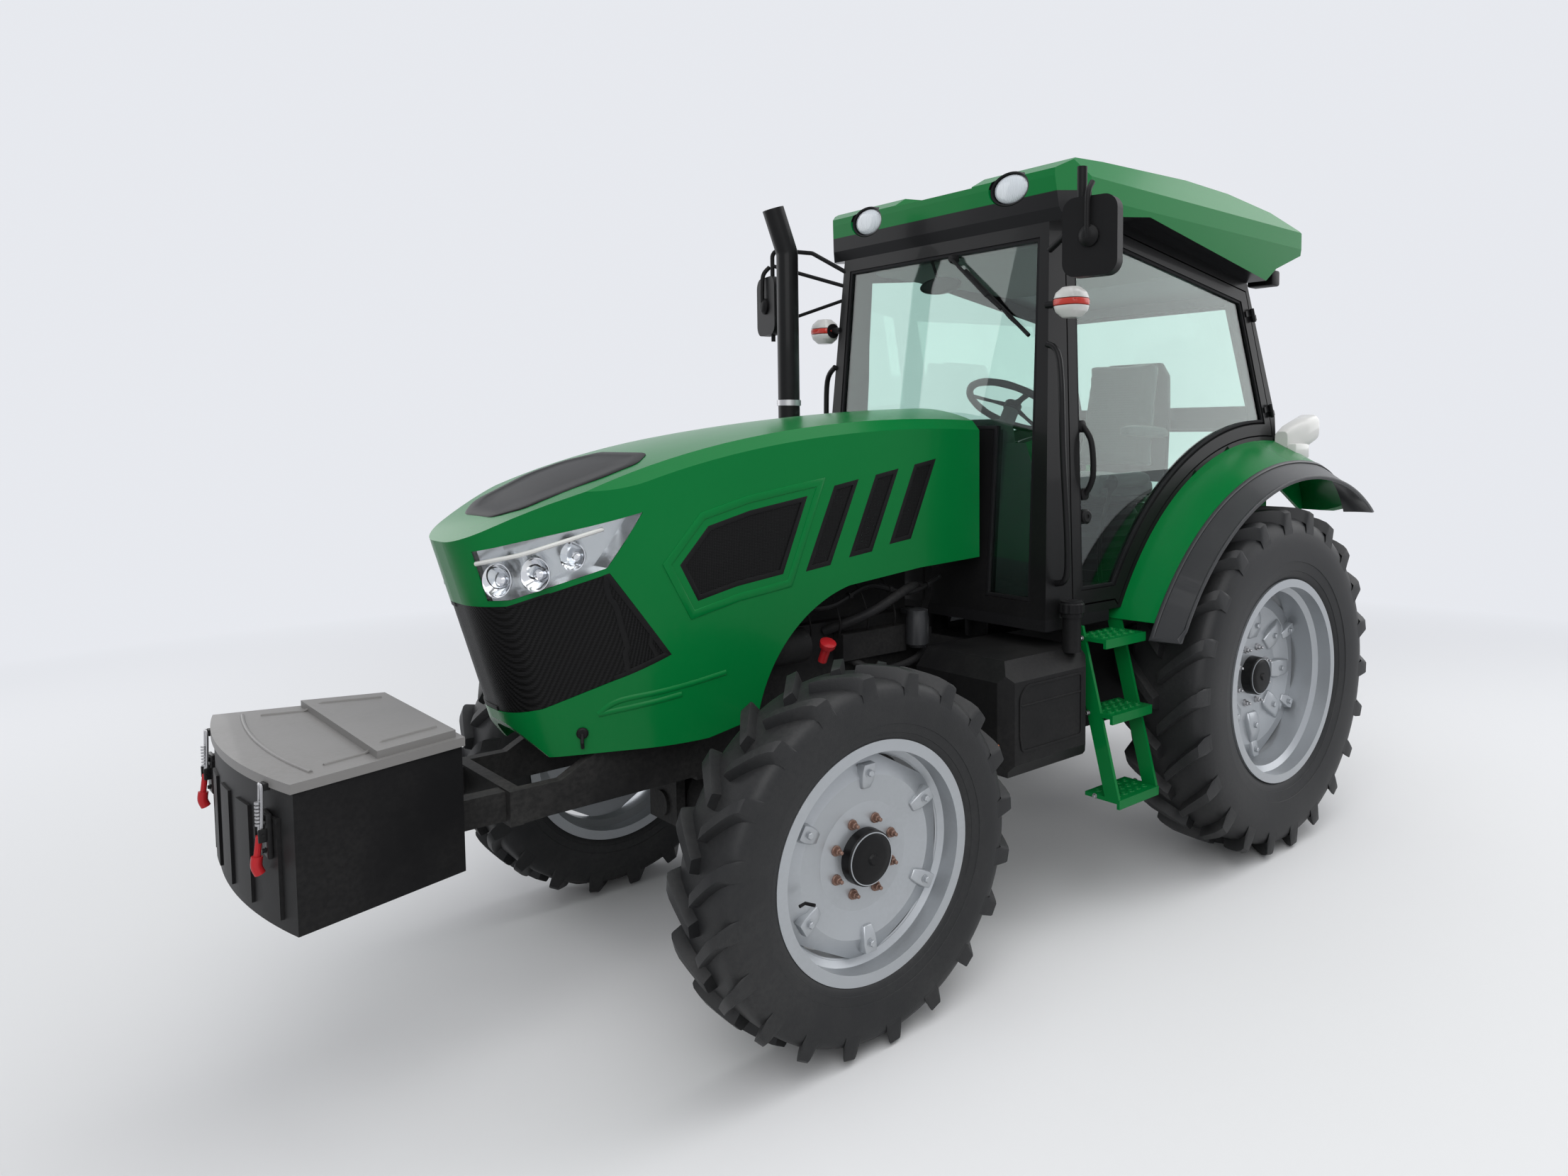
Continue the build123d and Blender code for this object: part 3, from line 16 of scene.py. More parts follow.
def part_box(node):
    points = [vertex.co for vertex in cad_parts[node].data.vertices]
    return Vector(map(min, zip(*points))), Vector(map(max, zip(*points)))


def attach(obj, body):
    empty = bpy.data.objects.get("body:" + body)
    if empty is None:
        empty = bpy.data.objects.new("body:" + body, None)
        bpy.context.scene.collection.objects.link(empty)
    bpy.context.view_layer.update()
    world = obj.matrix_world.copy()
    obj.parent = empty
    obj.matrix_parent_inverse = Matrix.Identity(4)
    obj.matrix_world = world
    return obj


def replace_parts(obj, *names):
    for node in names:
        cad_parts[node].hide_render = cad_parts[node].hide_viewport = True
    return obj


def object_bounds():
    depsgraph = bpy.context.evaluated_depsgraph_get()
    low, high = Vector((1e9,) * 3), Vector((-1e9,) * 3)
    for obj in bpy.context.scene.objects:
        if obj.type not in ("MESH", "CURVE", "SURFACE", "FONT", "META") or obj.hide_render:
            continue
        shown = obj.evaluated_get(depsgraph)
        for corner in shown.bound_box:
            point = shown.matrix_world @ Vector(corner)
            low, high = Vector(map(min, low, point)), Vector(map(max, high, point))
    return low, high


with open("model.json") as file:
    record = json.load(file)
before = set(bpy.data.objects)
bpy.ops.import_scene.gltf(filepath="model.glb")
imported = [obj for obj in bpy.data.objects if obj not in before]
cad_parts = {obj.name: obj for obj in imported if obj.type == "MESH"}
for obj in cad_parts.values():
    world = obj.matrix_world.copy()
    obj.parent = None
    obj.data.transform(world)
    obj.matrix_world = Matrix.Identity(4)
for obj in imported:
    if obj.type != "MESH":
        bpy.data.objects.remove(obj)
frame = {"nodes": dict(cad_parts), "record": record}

CAD_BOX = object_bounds()
print("solids reach from", [round(v, 3) for v in CAD_BOX[0]], "to", [round(v, 3) for v in CAD_BOX[1]])

# %% [markdown]
# ## Places
# A tractor is laid out from its axles, so the pieces here are too. The middle of a wheel's box is the
# middle of the wheel, which gives both axles. `at` counts x forward from the rear axle, in metres.

# %% Axles
SIDES = (("left", 1), ("right", -1))


def middle(node):
    """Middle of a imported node's box."""
    low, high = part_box(node)
    return (low + high) / 2


REAR_HUB = middle("tyre_rear_left")
FRONT_HUB = middle("tyre_front_left")
WHEELBASE = FRONT_HUB.x - REAR_HUB.x


def at(x, y, z):
    """Point in metres, its x counted forward from the rear axle."""
    return Vector((REAR_HUB.x + x, y, z))


print("wheelbase", round(WHEELBASE, 3))

# %% [markdown]
# ## Node helpers
# Finishes are node trees. Short helpers keep them readable: one puts a node in a tree and fills its inputs,
# a few make the nodes that nearly every finish needs, and one makes a node group with named sockets, so that
# an effect is built once and used often.

# %% Put a node in a tree
def put(tree, kind, settings=(), **inputs):
    """New node; a value that is a socket gets linked, any other is set on the input."""
    made = tree.nodes.new(kind)
    for name, value in dict(settings).items():
        setattr(made, name, value)
    for name, value in inputs.items():
        socket = made.inputs[int(name[1:])] if name[1:].isdigit() else made.inputs[name.replace("_", " ")]
        if isinstance(value, bpy.types.NodeSocket):
            tree.links.new(value, socket)
        else:
            socket.default_value = value
    return made


def math_node(tree, operation, a, b=0.0, clamp=False):
    """Result of a sum on one or two values."""
    return put(tree, "ShaderNodeMath", {"operation": operation, "use_clamp": clamp}, i0=a, i1=b).outputs[0]


def ramp(tree, value, low, high, to_low=0.0, to_high=1.0):
    """Value mapped from one range to another and clamped."""
    return put(tree, "ShaderNodeMapRange", Value=value, From_Min=low, From_Max=high, To_Min=to_low,
               To_Max=to_high).outputs["Result"]


def mix_colour(tree, share, a, b):
    """Colour a where the share is 0, colour b where it is 1."""
    return put(tree, "ShaderNodeMix", {"data_type": "RGBA"}, i0=share, i6=a, i7=b).outputs[2]


# %% Places, directions, noise and bumps
def place_on_object(tree):
    """Place on the object, in metres."""
    return put(tree, "ShaderNodeTexCoord").outputs["Object"]


def axes(tree, vector):
    """The X, Y and Z of a vector."""
    return put(tree, "ShaderNodeSeparateXYZ", Vector=vector).outputs


def facing_axes(tree):
    """The X, Y and Z of the way that the surface faces."""
    return axes(tree, put(tree, "ShaderNodeNewGeometry").outputs["Normal"])


def noise(tree, where, scale, detail, roughness=0.5):
    """Noise from 0 to 1 at a place."""
    return put(tree, "ShaderNodeTexNoise", Vector=where, Scale=scale, Detail=detail,
               Roughness=roughness).outputs["Fac"]


def stripes(tree, where, direction, scale):
    """Soft stripes from 0 to 1 across one axis."""
    return put(tree, "ShaderNodeTexWave", {"bands_direction": direction}, Vector=where,
               Scale=scale).outputs["Fac"]


def bump(tree, shader, height, strength, distance=0.001):
    """Height that tilts a shader's normal."""
    relief = put(tree, "ShaderNodeBump", Strength=strength, Distance=distance, Height=height)
    tree.links.new(relief.outputs["Normal"], shader.inputs["Normal"])


# %% Make a node group
def new_group(name, inputs, outputs):
    """Empty node group with named sockets: its tree, its input node and its output node."""
    tree = bpy.data.node_groups.new(name, "ShaderNodeTree")
    for label, kind, value in inputs:
        socket = tree.interface.new_socket(label, in_out="INPUT", socket_type="NodeSocket" + kind)
        socket.default_value = value
    for label, kind in outputs:
        tree.interface.new_socket(label, in_out="OUTPUT", socket_type="NodeSocket" + kind)
    return tree, tree.nodes.new("NodeGroupInput"), tree.nodes.new("NodeGroupOutput")


# %% [markdown]
# ## Dust and fading
# Field machines carry a thin film of dust: more of it low down and on faces that look up, in patches.
# The group takes a clean colour and gives back the dusty one with a mask, so that each material can make
# the dusty places rougher as well.

# %% Dust group
GREY = (0.5, 0.5, 0.5, 1)
dust_tree, dust_in, dust_out = new_group(
    "field_dust",
    [("Colour", "Color", GREY), ("Dust Colour", "Color", (0.15, 0.145, 0.135, 1)), ("Amount", "Float", 0.2),
     ("Patch Scale", "Float", 3.0), ("Fade", "Float", 0.1)],
    [("Colour", "Color"), ("Mask", "Float")])
where = place_on_object(dust_tree)
height = axes(dust_tree, where)["Z"]
facing_up = facing_axes(dust_tree)["Z"]
patches = noise(dust_tree, where, dust_in.outputs["Patch Scale"], 5.0, 0.6)
specks = noise(dust_tree, where, 85.0, 4.0)
settled = math_node(dust_tree, "ADD", ramp(dust_tree, height, 0.1, 1.5, 0.8, 0.12),
                    ramp(dust_tree, facing_up, 0.2, 1.0, 0.0, 0.45))
mask = math_node(dust_tree, "MULTIPLY", settled, ramp(dust_tree, patches, 0.38, 0.68))
mask = math_node(dust_tree, "MULTIPLY", mask, ramp(dust_tree, specks, 0.3, 0.62, 0.35, 1.0))
mask = math_node(dust_tree, "MULTIPLY", mask, dust_in.outputs["Amount"], True)
from_middle = math_node(dust_tree, "SUBTRACT", patches, 0.5)
faded = math_node(dust_tree, "MULTIPLY", from_middle, dust_in.outputs["Fade"])
shade = put(dust_tree, "ShaderNodeHueSaturation", Color=dust_in.outputs["Colour"],
            Value=math_node(dust_tree, "ADD", faded, 1.0)).outputs["Color"]
dusted = mix_colour(dust_tree, mask, shade, dust_in.outputs["Dust Colour"])
dust_tree.links.new(dusted, dust_out.inputs["Colour"])
dust_tree.links.new(mask, dust_out.inputs["Mask"])
print("group", dust_tree.name, "with", len(dust_tree.nodes), "nodes")

# %% [markdown]
# ## Grain
# Moulded plastic, castings and rubber differ most in how rough their skin is. One group makes a height
# from two sizes of noise; each material sets how large and how deep.

# %% Grain group
grain_tree, grain_in, grain_out = new_group(
    "surface_grain", [("Scale", "Float", 200.0), ("Coarse Share", "Float", 0.4)], [("Height", "Float")])
where = place_on_object(grain_tree)
fine = noise(grain_tree, where, grain_in.outputs["Scale"], 3.0)
coarse = noise(grain_tree, where, math_node(grain_tree, "MULTIPLY", grain_in.outputs["Scale"], 0.18), 2.0)
blend = math_node(grain_tree, "MULTIPLY", coarse, grain_in.outputs["Coarse Share"])
grain_tree.links.new(math_node(grain_tree, "ADD", fine, blend), grain_out.inputs["Height"])
print("group", grain_tree.name, "with", len(grain_tree.nodes), "nodes")


# %% [markdown]
# ## Finishes
# Most of the tractor is paint, plastic, cast iron or rubber. All of them are one Principled shader with
# dust on its colour and grain on its normal, so one function makes them from a short table. Dark paint and
# plastic keep a low specular level, or a pale sky would turn them milky.

# %% Make a finish
FINISH = {}
METAL_SHINE, PAINT_SHINE, RUBBER_SHINE = 0.5, 0.10, 0.3
DUSTY_ROUGHNESS = 0.85


def new_material(name):
    """Material with a Principled shader: the material, its tree and the shader."""
    made = bpy.data.materials.new(name)
    made.use_nodes = True
    return made, made.node_tree, made.node_tree.nodes["Principled BSDF"]


def group_node(tree, group, **inputs):
    """Node group placed in a tree with its own values."""
    made = put(tree, "ShaderNodeGroup", {"node_tree": group})
    for name, value in inputs.items():
        made.inputs[name.replace("_", " ")].default_value = value
    return made


def finish(name, colour, rough, metal=0.0, coat=0.0, dust=0.2, grain=200.0, depth=0.0, shine=PAINT_SHINE):
    """Dusty, grained material; gives back its tree and its shader."""
    FINISH[name], tree, shader = new_material(name)
    dusty = group_node(tree, dust_tree, Colour=(*colour, 1), Amount=dust)
    tree.links.new(dusty.outputs["Colour"], shader.inputs["Base Color"])
    roughness = ramp(tree, dusty.outputs["Mask"], 0.0, 1.0, rough, DUSTY_ROUGHNESS)
    tree.links.new(roughness, shader.inputs["Roughness"])
    shader.inputs["Metallic"].default_value = metal
    shader.inputs["Coat Weight"].default_value = coat
    shader.inputs["Coat Roughness"].default_value = 0.06
    shader.inputs["Specular IOR Level"].default_value = METAL_SHINE if metal else shine
    if depth:
        bump(tree, shader, group_node(tree, grain_tree, Scale=grain).outputs["Height"], depth)
    return tree, shader


# %% Table of finishes
GREEN = (0.001, 0.150, 0.032)
# name, colour, roughness, metal, coat, dust, scale of the grain, depth of the grain
for row in (
    ("green_paint", GREEN, 0.24, 0.0, 0.03, 0.05, 60, 0.02),
    ("black_paint", (0.0075, 0.0075, 0.008), 0.36, 0.0, 0.08, 0.10, 90, 0.05),
    ("black_plastic", (0.0075, 0.0075, 0.008), 0.44, 0.0, 0.0, 0.12, 700, 0.25),
    ("cast_black", (0.012, 0.012, 0.0125), 0.60, 0.0, 0.0, 0.28, 260, 0.5),
    ("tyre_rubber", (0.0115, 0.012, 0.013), 0.50, 0.0, 0.0, 0.15, 320, 0.35),
    ("wheel_silver", (0.40, 0.42, 0.44), 0.34, 0.60, 0.1, 0.22, 220, 0.06),
    ("steel", (0.42, 0.42, 0.43), 0.34, 0.9, 0.0, 0.25, 300, 0.12),
    ("box_lid_grey", (0.20, 0.195, 0.19), 0.46, 0.0, 0.1, 0.25, 500, 0.2),
    ("bolt_bronze", (0.21, 0.125, 0.095), 0.45, 0.6, 0.0, 0.2, 300, 0.15),
    ("red_plastic", (0.42, 0.015, 0.02), 0.38, 0.0, 0.2, 0.08, 300, 0.05),
    ("orange_reflector", (0.75, 0.16, 0.02), 0.3, 0.0, 0.6, 0.05, 300, 0.05),
    ("signal_red", (0.55, 0.035, 0.02), 0.3, 0.0, 0.6, 0.05, 300, 0.05),
    ("signal_white", (0.62, 0.62, 0.60), 0.3, 0.0, 0.6, 0.05, 300, 0.05),
    ("chrome", (0.72, 0.73, 0.75), 0.12, 1.0, 0.0, 0.02, 200, 0.0),
    ("hose_rubber", (0.013, 0.013, 0.014), 0.5, 0.0, 0.0, 0.3, 400, 0.2),
    ("zinc_yellow", (0.42, 0.33, 0.14), 0.4, 0.8, 0.0, 0.3, 300, 0.15),
    ("fender_black", (0.020, 0.021, 0.023), 0.38, 0.0, 0.10, 0.10, 700, 0.15),
    ("seal_rubber", (0.008, 0.008, 0.009), 0.6, 0.0, 0.0, 0.1, 500, 0.2),
    ("cab_trim", (0.065, 0.07, 0.07), 0.6, 0.0, 0.0, 0.05, 600, 0.3),
    ("roof_liner", (0.22, 0.23, 0.22), 0.85, 0.0, 0.0, 0.0, 500, 0.5),
):
    finish(*row, shine=RUBBER_SHINE if row[0] in ("tyre_rubber", "fender_black") else PAINT_SHINE)
print(len(FINISH), "finishes")

# %% [markdown]
# ## Glass and lenses
# Cab glass is tinted green so that the driver is not dazzled. It stays a thin pane with a real back face,
# so the light is bent and bent back as in a real window. Lenses are the same shader without the tint.

# %% Glass finishes
GLASS_IOR = 1.45
for name, colour, rough in (("cab_glass", (0.70, 0.86, 0.80), 0.0), ("lamp_lens", (0.93, 0.95, 0.96), 0.02)):
    FINISH[name], tree, shader = new_material(name)
    shader.inputs["Transmission Weight"].default_value = 1.0
    shader.inputs["IOR"].default_value = GLASS_IOR
    film = group_node(tree, dust_tree, Colour=(*colour, 1), Amount=0.03)
    tree.links.new(film.outputs["Colour"], shader.inputs["Base Color"])
    shader.inputs["Roughness"].default_value = rough
    print("glass", name)

# %% [markdown]
# ## Lamp glass from outside
# A roof lamp is a fluted lens over a bright bowl, so by day it looks pale and ribbed. Fine vertical
# ribs on a pale glossy shader give that without a bowl behind it; the pale colour is a painted reflection of
# the bowl.

# %% Fluted lens
FLUTE_SCALE = 38.0
# pale colour: painted reflection of the bright bowl behind the lens
tree, shader = finish("fluted_lens", (0.60, 0.64, 0.68), 0.14, coat=1.0, dust=0.03)
bump(tree, shader, stripes(tree, place_on_object(tree), "Y", FLUTE_SCALE), 0.5, 0.002)
print("fluted_lens with", len(tree.nodes), "nodes")

# %% [markdown]
# ## Cloth of the seat
# A tractor seat has a hard-wearing woven cover. Crossed stripes make the weave, and the sheen of loose
# fibres brightens it towards its edges.

# %% Seat cloth
THREAD_SCALE = 160.0
tree, shader = finish("seat_cloth", (0.055, 0.062, 0.062), 0.85, dust=0.06)
shader.inputs["Sheen Weight"].default_value = 0.5
where = place_on_object(tree)
warp, weft, rise = [stripes(tree, where, axis, THREAD_SCALE) for axis in "XYZ"]
bump(tree, shader, math_node(tree, "ADD", math_node(tree, "MULTIPLY", warp, weft), rise), 0.35)
print("seat_cloth with", len(tree.nodes), "nodes")

# %% [markdown]
# ## Grille cloth
# Behind the big openings of the hood sits black mesh. Its holes are far too many to cut one by one, so a
# diamond pattern dents the sheet, and its holes get painted shade; the frame round it and the ribs are real.

# %% Mesh sheet
HOLE_PITCH, HOLE_SHADE = 0.009, (0.002, 0.002, 0.002, 1)


def paint_shade_gaps(tree, shader, share, shade_colour):
    """Keeps the finish's own colour where the share is 1, and paints a shade colour where it is 0."""
    base = shader.inputs["Base Color"]
    tree.links.new(mix_colour(tree, share, shade_colour, base.links[0].from_socket), base)


tree, shader = finish("mesh_sheet", (0.009, 0.009, 0.0095), 0.40, dust=0.06)
place = axes(tree, place_on_object(tree))
across = math_node(tree, "ADD", place["X"], place["Y"])
diagonals = [math_node(tree, op, math_node(tree, "MULTIPLY", across, 0.8), place["Z"])
             for op in ("ADD", "SUBTRACT")]
waves = [math_node(tree, "SINE", math_node(tree, "MULTIPLY", d, 2 * math.pi / HOLE_PITCH)) for d in diagonals]
wires = ramp(tree, math_node(tree, "MULTIPLY", *waves), -0.2, 0.35)
bump(tree, shader, wires, 0.4, 0.002)
# painted shade: the holes are near black instead of being cut through
paint_shade_gaps(tree, shader, wires, HOLE_SHADE)
print("mesh_sheet with", len(tree.nodes), "nodes")

# %% [markdown]
# ## Roof with painted shade
# The roof cap is green. Black painted shade covers it where it faces down and slopes back to the windscreen,
# and along the lower half of its front. The colour changes with the way that the surface faces and with
# the height, so one mask on both paints it.

# %% Roof paint with painted shade
SHADE_BAND_TOP, ROOF_SHADE_BLACK = 2.494, (0.010, 0.010, 0.011, 1)
tree, shader = finish("roof_paint_and_shade", GREEN, 0.26, coat=0.03, dust=0.05)
facing, height = facing_axes(tree), axes(tree, place_on_object(tree))["Z"]
not_front = ramp(tree, facing["X"], 0.60, 0.62, 1.0, 0.0)
above_band = ramp(tree, height, SHADE_BAND_TOP - 0.001, SHADE_BAND_TOP + 0.001)
not_below = ramp(tree, facing["Z"], -0.30, -0.28)
unshaded_share = math_node(tree, "MULTIPLY", not_below, math_node(tree, "MAXIMUM", not_front, above_band))
# painted shade: black on the down-facing underside and on the lower front band
paint_shade_gaps(tree, shader, unshaded_share, ROOF_SHADE_BLACK)
print("roof_paint_and_shade with", len(tree.nodes), "nodes")

# %% Which finish each solid wears
SLOT_FINISH = {"glass": "cab_glass", "seat_cover": "seat_cloth"}
NODE_FINISH = {
    "roof": "roof_paint_and_shade", "hood_grilles": "mesh_sheet", "dashboard": "cab_trim", "cab_floor": "seal_rubber",
    "fender_flares": "fender_black", "engine": "cast_black", "top_link": "steel", "lift_rods": "steel",
    "tie_rod": "steel", "headlights": "lamp_lens",
}
slot_of = {part["node"]: part["material_slot"] for part in frame["record"]["subparts"]}
for node, solid in frame["nodes"].items():
    wanted = slot_of[node]
    worn = FINISH[NODE_FINISH.get(node, SLOT_FINISH.get(wanted, wanted))]
    if not solid.material_slots:
        solid.data.materials.append(worn)
    for place in solid.material_slots:
        place.material = worn
print("dressed", len(frame["nodes"]), "solids")


# %% [markdown]
# ## Circles, boxes and new objects
# Round and oval pieces need angles round a circle, and rounded boxes need a square with soft corners. A
# box round some points gives the place and the size of one lamp among several in a node.

# %% Points round a circle and boxes round points
def full_turn(steps):
    """Angles of equal steps round a circle."""
    return [2 * math.pi * k / steps for k in range(steps)]


def soft_square(steps, power):
    """Points round a square that reaches from -1 to 1; the smaller the power, the sharper its corners."""
    return [(math.copysign(abs(math.cos(t)) ** power, math.cos(t)),
             math.copysign(abs(math.sin(t)) ** power, math.sin(t))) for t in full_turn(steps)]


def box_of(points):
    """Lowest and highest corner of the box round points."""
    return tuple(Vector([pick(p[i] for p in points) for i in range(3)]) for pick in (min, max))


def show(name, data):
    """New object in the scene."""
    made = bpy.data.objects.new(name, data)
    bpy.context.scene.collection.objects.link(made)
    return made


# %% [markdown]
# ## A workshop of shapes
# The added pieces are made from a handful of shapes: blocks with rounded edges, slabs cut from a
# side-view outline, turned bodies, bent bars and hexagon bolts. `Shapes` gathers any number of them in
# one mesh and turns that mesh into a piece that rides on its body.

# %% Shapes
class Shapes:
    """Closed shapes gathered into one piece."""

    def __init__(self):
        self.bm = bmesh.new()

    def take(self, corners, faces, round_edge=0.0):
        """Adds one closed shape, its edges rounded where they turn by more than 30 degrees."""
        own = bmesh.new()
        points = [own.verts.new(corner) for corner in corners]
        for face in faces:
            own.faces.new([points[i] for i in face])
        bmesh.ops.recalc_face_normals(own, faces=own.faces)
        if round_edge:
            sharp = [e for e in own.edges if e.calc_face_angle(0) > math.radians(30)]
            bmesh.ops.bevel(own, geom=sharp, offset=round_edge, segments=2, profile=0.5, affect="EDGES",
                            clamp_overlap=True)
        kept = bpy.data.meshes.new("own")
        own.to_mesh(kept)
        own.free()
        self.bm.from_mesh(kept)
        bpy.data.meshes.remove(kept)
        return self

    def loft(self, rings, round_edge=0.0, closed=False):
        """Skin over rings of equally many points, capped at both ends unless it closes on itself."""
        count, corners = len(rings[0]), [p for ring in rings for p in ring]
        spans = [(i, (i + 1) % len(rings)) for i in range(len(rings) - (0 if closed else 1))]
        faces = [(a * count + k, a * count + (k + 1) % count, b * count + (k + 1) % count, b * count + k)
                 for a, b in spans for k in range(count)]
        if not closed:
            faces += [tuple(range(count)), tuple(range((len(rings) - 1) * count, len(rings) * count))]
        return self.take(corners, faces, round_edge)

    def block(self, low, high, round_edge=0.003):
        """Box between two corners."""
        x, y, z = zip(low, high)
        corners = ((y[0], z[0]), (y[1], z[0]), (y[1], z[1]), (y[0], z[1]))
        return self.loft([[Vector((a, *corner)) for corner in corners] for a in x], round_edge)

    def block_at(self, place, low, high, round_edge=0.003):
        """Box between two corners that are counted from a place."""
        return self.block(place + Vector(low), place + Vector(high), round_edge)

    def slab(self, outline, y, round_edge=0.003):
        """Side-view outline of points between two y values."""
        return self.loft([[Vector((p.x, v, p.z)) for p in outline] for v in y], round_edge)

    def turned(self, profile, centre, axis, steps=32):
        """Body of (distance along the axis, radius) points."""
        axis = Vector(axis).normalized()
        side = axis.orthogonal().normalized()
        up = axis.cross(side)
        return self.loft([[Vector(centre) + axis * d + (side * math.cos(t) + up * math.sin(t)) * max(r, 1e-4)
                           for t in full_turn(steps)] for d, r in profile])

    def bar(self, points, radius, sides=10):
        """Round bar along points."""
        points = [Vector(p) for p in points]
        rings, side = [], None
        for i, point in enumerate(points):
            ahead = (points[min(i + 1, len(points) - 1)] - points[max(i - 1, 0)]).normalized()
            side = (side - ahead * side.dot(ahead)).normalized() if side else ahead.orthogonal().normalized()
            up = ahead.cross(side)
            rings.append([point + (side * math.cos(t) + up * math.sin(t)) * radius for t in full_turn(sides)])
        return self.loft(rings)

    def bolt(self, foot, axis, size=0.008):
        """Washer and hexagon head that stand on a foot point; size is half the head's width."""
        self.turned([(0, size * 1.35), (size * 0.2, size * 1.35), (size * 0.22, size)], foot, axis, 16)
        return self.turned([(size * 0.2, size), (size * 1.1, size), (size * 1.3, size * 0.8)], foot, axis, 6)

    def done(self, name, worn, body="chassis", slot="black_paint", angle=35):
        """The gathered shapes as one piece that rides on a body."""
        mesh = bpy.data.meshes.new(name)
        self.bm.to_mesh(mesh)
        self.bm.free()
        mesh.polygons.foreach_set("use_smooth", [True] * len(mesh.polygons))
        mesh.set_sharp_from_angle(angle=math.radians(angle))
        mesh.materials.append(FINISH[worn])
        made = show(name, mesh)
        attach(made, body)
        print(name, len(mesh.polygons), "faces on", body)
        return made


def smooth_path(points, steps=6):
    """Points along a smooth line through the given ones."""
    points = [Vector(p) for p in points]
    line = []
    for i in range(len(points) - 1):
        before, after = points[max(i - 1, 0)], points[min(i + 2, len(points) - 1)]
        a, b = points[i], points[i + 1]
        for k in range(steps):
            t = k / steps
            line.append(0.5 * (2 * a + (b - before) * t + (2 * before - 5 * a + 4 * b - after) * t * t
                               + (3 * a - before - 3 * b + after) * t ** 3))
    return line + [points[-1]]


# %% [markdown]
# ## Tyres
# A drive tyre is a smooth carcass with two rows of slanting lugs, each reaching from the middle of the
# tread over the shoulder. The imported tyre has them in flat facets. Here the carcass is turned from a
# rounded profile with moulded rings on its sides, and each lug is a bar that follows the carcass, tall
# and narrow, with rounded edges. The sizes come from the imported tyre's own box and the rim's.

# %% A lugged tyre
LUG_SWEEP = math.radians(50)
# share of half the width, share of the height from bead to crown
CARCASS = ((0.74, -0.02), (0.79, 0.03), (0.83, 0.05), (0.87, 0.12), (0.885, 0.15), (0.90, 0.155),
           (0.93, 0.24), (0.945, 0.30), (0.96, 0.305), (0.985, 0.45), (0.995, 0.60), (0.985, 0.74),
           (0.95, 0.85), (0.88, 0.93), (0.74, 0.975), (0.5, 0.993), (0.25, 1.0), (0.0, 1.0))
# share of half the width, share of the lug's height, share of the way down the side
LUG_LINE = ((0.03, 0.93, 0.0), (0.10, 1.0, 0.0), (0.30, 1.0, 0.0), (0.52, 1.0, 0.0), (0.74, 0.99, 0.0),
            (0.90, 0.97, 0.02), (0.975, 0.93, 0.05), (1.0, 0.50, 0.16), (0.985, 0.05, 0.30))
# share of half the lug's width, share of its height
LUG_FLANK = ((-1.45, 0.0), (-1.02, 0.86), (-0.86, 1.0), (0.86, 1.0), (1.02, 0.86), (1.45, 0.0))
STEPS_PER_LUG = 6
LUG_ROOT, BEAD_LAP = 0.012, 0.006  # how deep a lug sits in the carcass, and the bead in the rim


def dress_tyre(node, wheel, lugs, lug_height):
    """Fine tyre in place of a packed one, on the wheel that it turns with."""
    low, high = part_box(node)
    hub = (low + high) / 2
    half, crown = (high.y - low.y) / 2, (high.x - low.x) / 2 - lug_height
    rim_low, rim_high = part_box(wheel)
    bead = (rim_high.z - rim_low.z) / 2 - BEAD_LAP
    rise = crown - bead

    def spot(angle, y, r):
        return hub + Vector((math.sin(angle) * r, y, math.cos(angle) * r))

    shape = Shapes()
    profile = [(s * half, bead + t * rise) for s, t in CARCASS]
    profile = [(-y, r) for y, r in profile] + [(y, r) for y, r in reversed(profile[:-1])]
    shape.loft([[spot(t, y, r) for y, r in profile] for t in full_turn(lugs * STEPS_PER_LUG)], closed=True)
    pitch = 2 * math.pi / lugs
    lead = LUG_SWEEP * half / (crown + lug_height)
    for side in (-1, 1):
        for i in range(lugs):
            start = pitch * (i + 0.25 * side)
            rings = []
            for share, tall, down in LUG_LINE:
                angle = start + lead * (1 - share) ** 1.12
                foot = crown - down * rise - LUG_ROOT
                top = max(foot + 0.004, crown - down * rise + lug_height * tall)
                wide = pitch * (0.105 + 0.02 * share)
                rings.append([spot(angle + a * wide, side * share * half * 0.985, foot + h * (top - foot))
                              for a, h in LUG_FLANK])
            shape.loft(rings)
    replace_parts(shape.done("fine_" + node, "tyre_rubber", wheel, "tyre_rubber", 38), node)


for side_name, _ in SIDES:
    for axle, lugs, lug_height in (("front", 20, 0.030), ("rear", 22, 0.038)):
        dress_tyre(f"tyre_{axle}_{side_name}", f"wheel_{axle}_{side_name}", lugs, lug_height)

# %% [markdown]
# ## Wheel centres
# The rims and dished discs are solid already. What makes them read as wheels are the small parts: eight
# hub bolts, the dark hub cover, clamp lugs that hold the disc to the rim, and the valve.
# A loop turns each of them round the hub.

# %% Bolts, hub cover, clamps and valve
# disc's face and hub's end from the wheel's middle plane; radii of the hub cover, the bolt circle and the
# disc; finish of the bolts
WHEEL_FACES = {"front": (0.037, 0.072, 0.074, 0.104, 0.262, "bolt_bronze"),
               "rear": (-0.008, 0.040, 0.074, 0.118, 0.332, "steel")}
BOLTS, CLAMPS, VALVE_ANGLE = 8, 6, math.radians(100)


def spoke_ways(angle):
    """The ways outward along a spoke and across it."""
    return (Vector((math.sin(angle), 0, math.cos(angle))), Vector((math.cos(angle), 0, -math.sin(angle))))


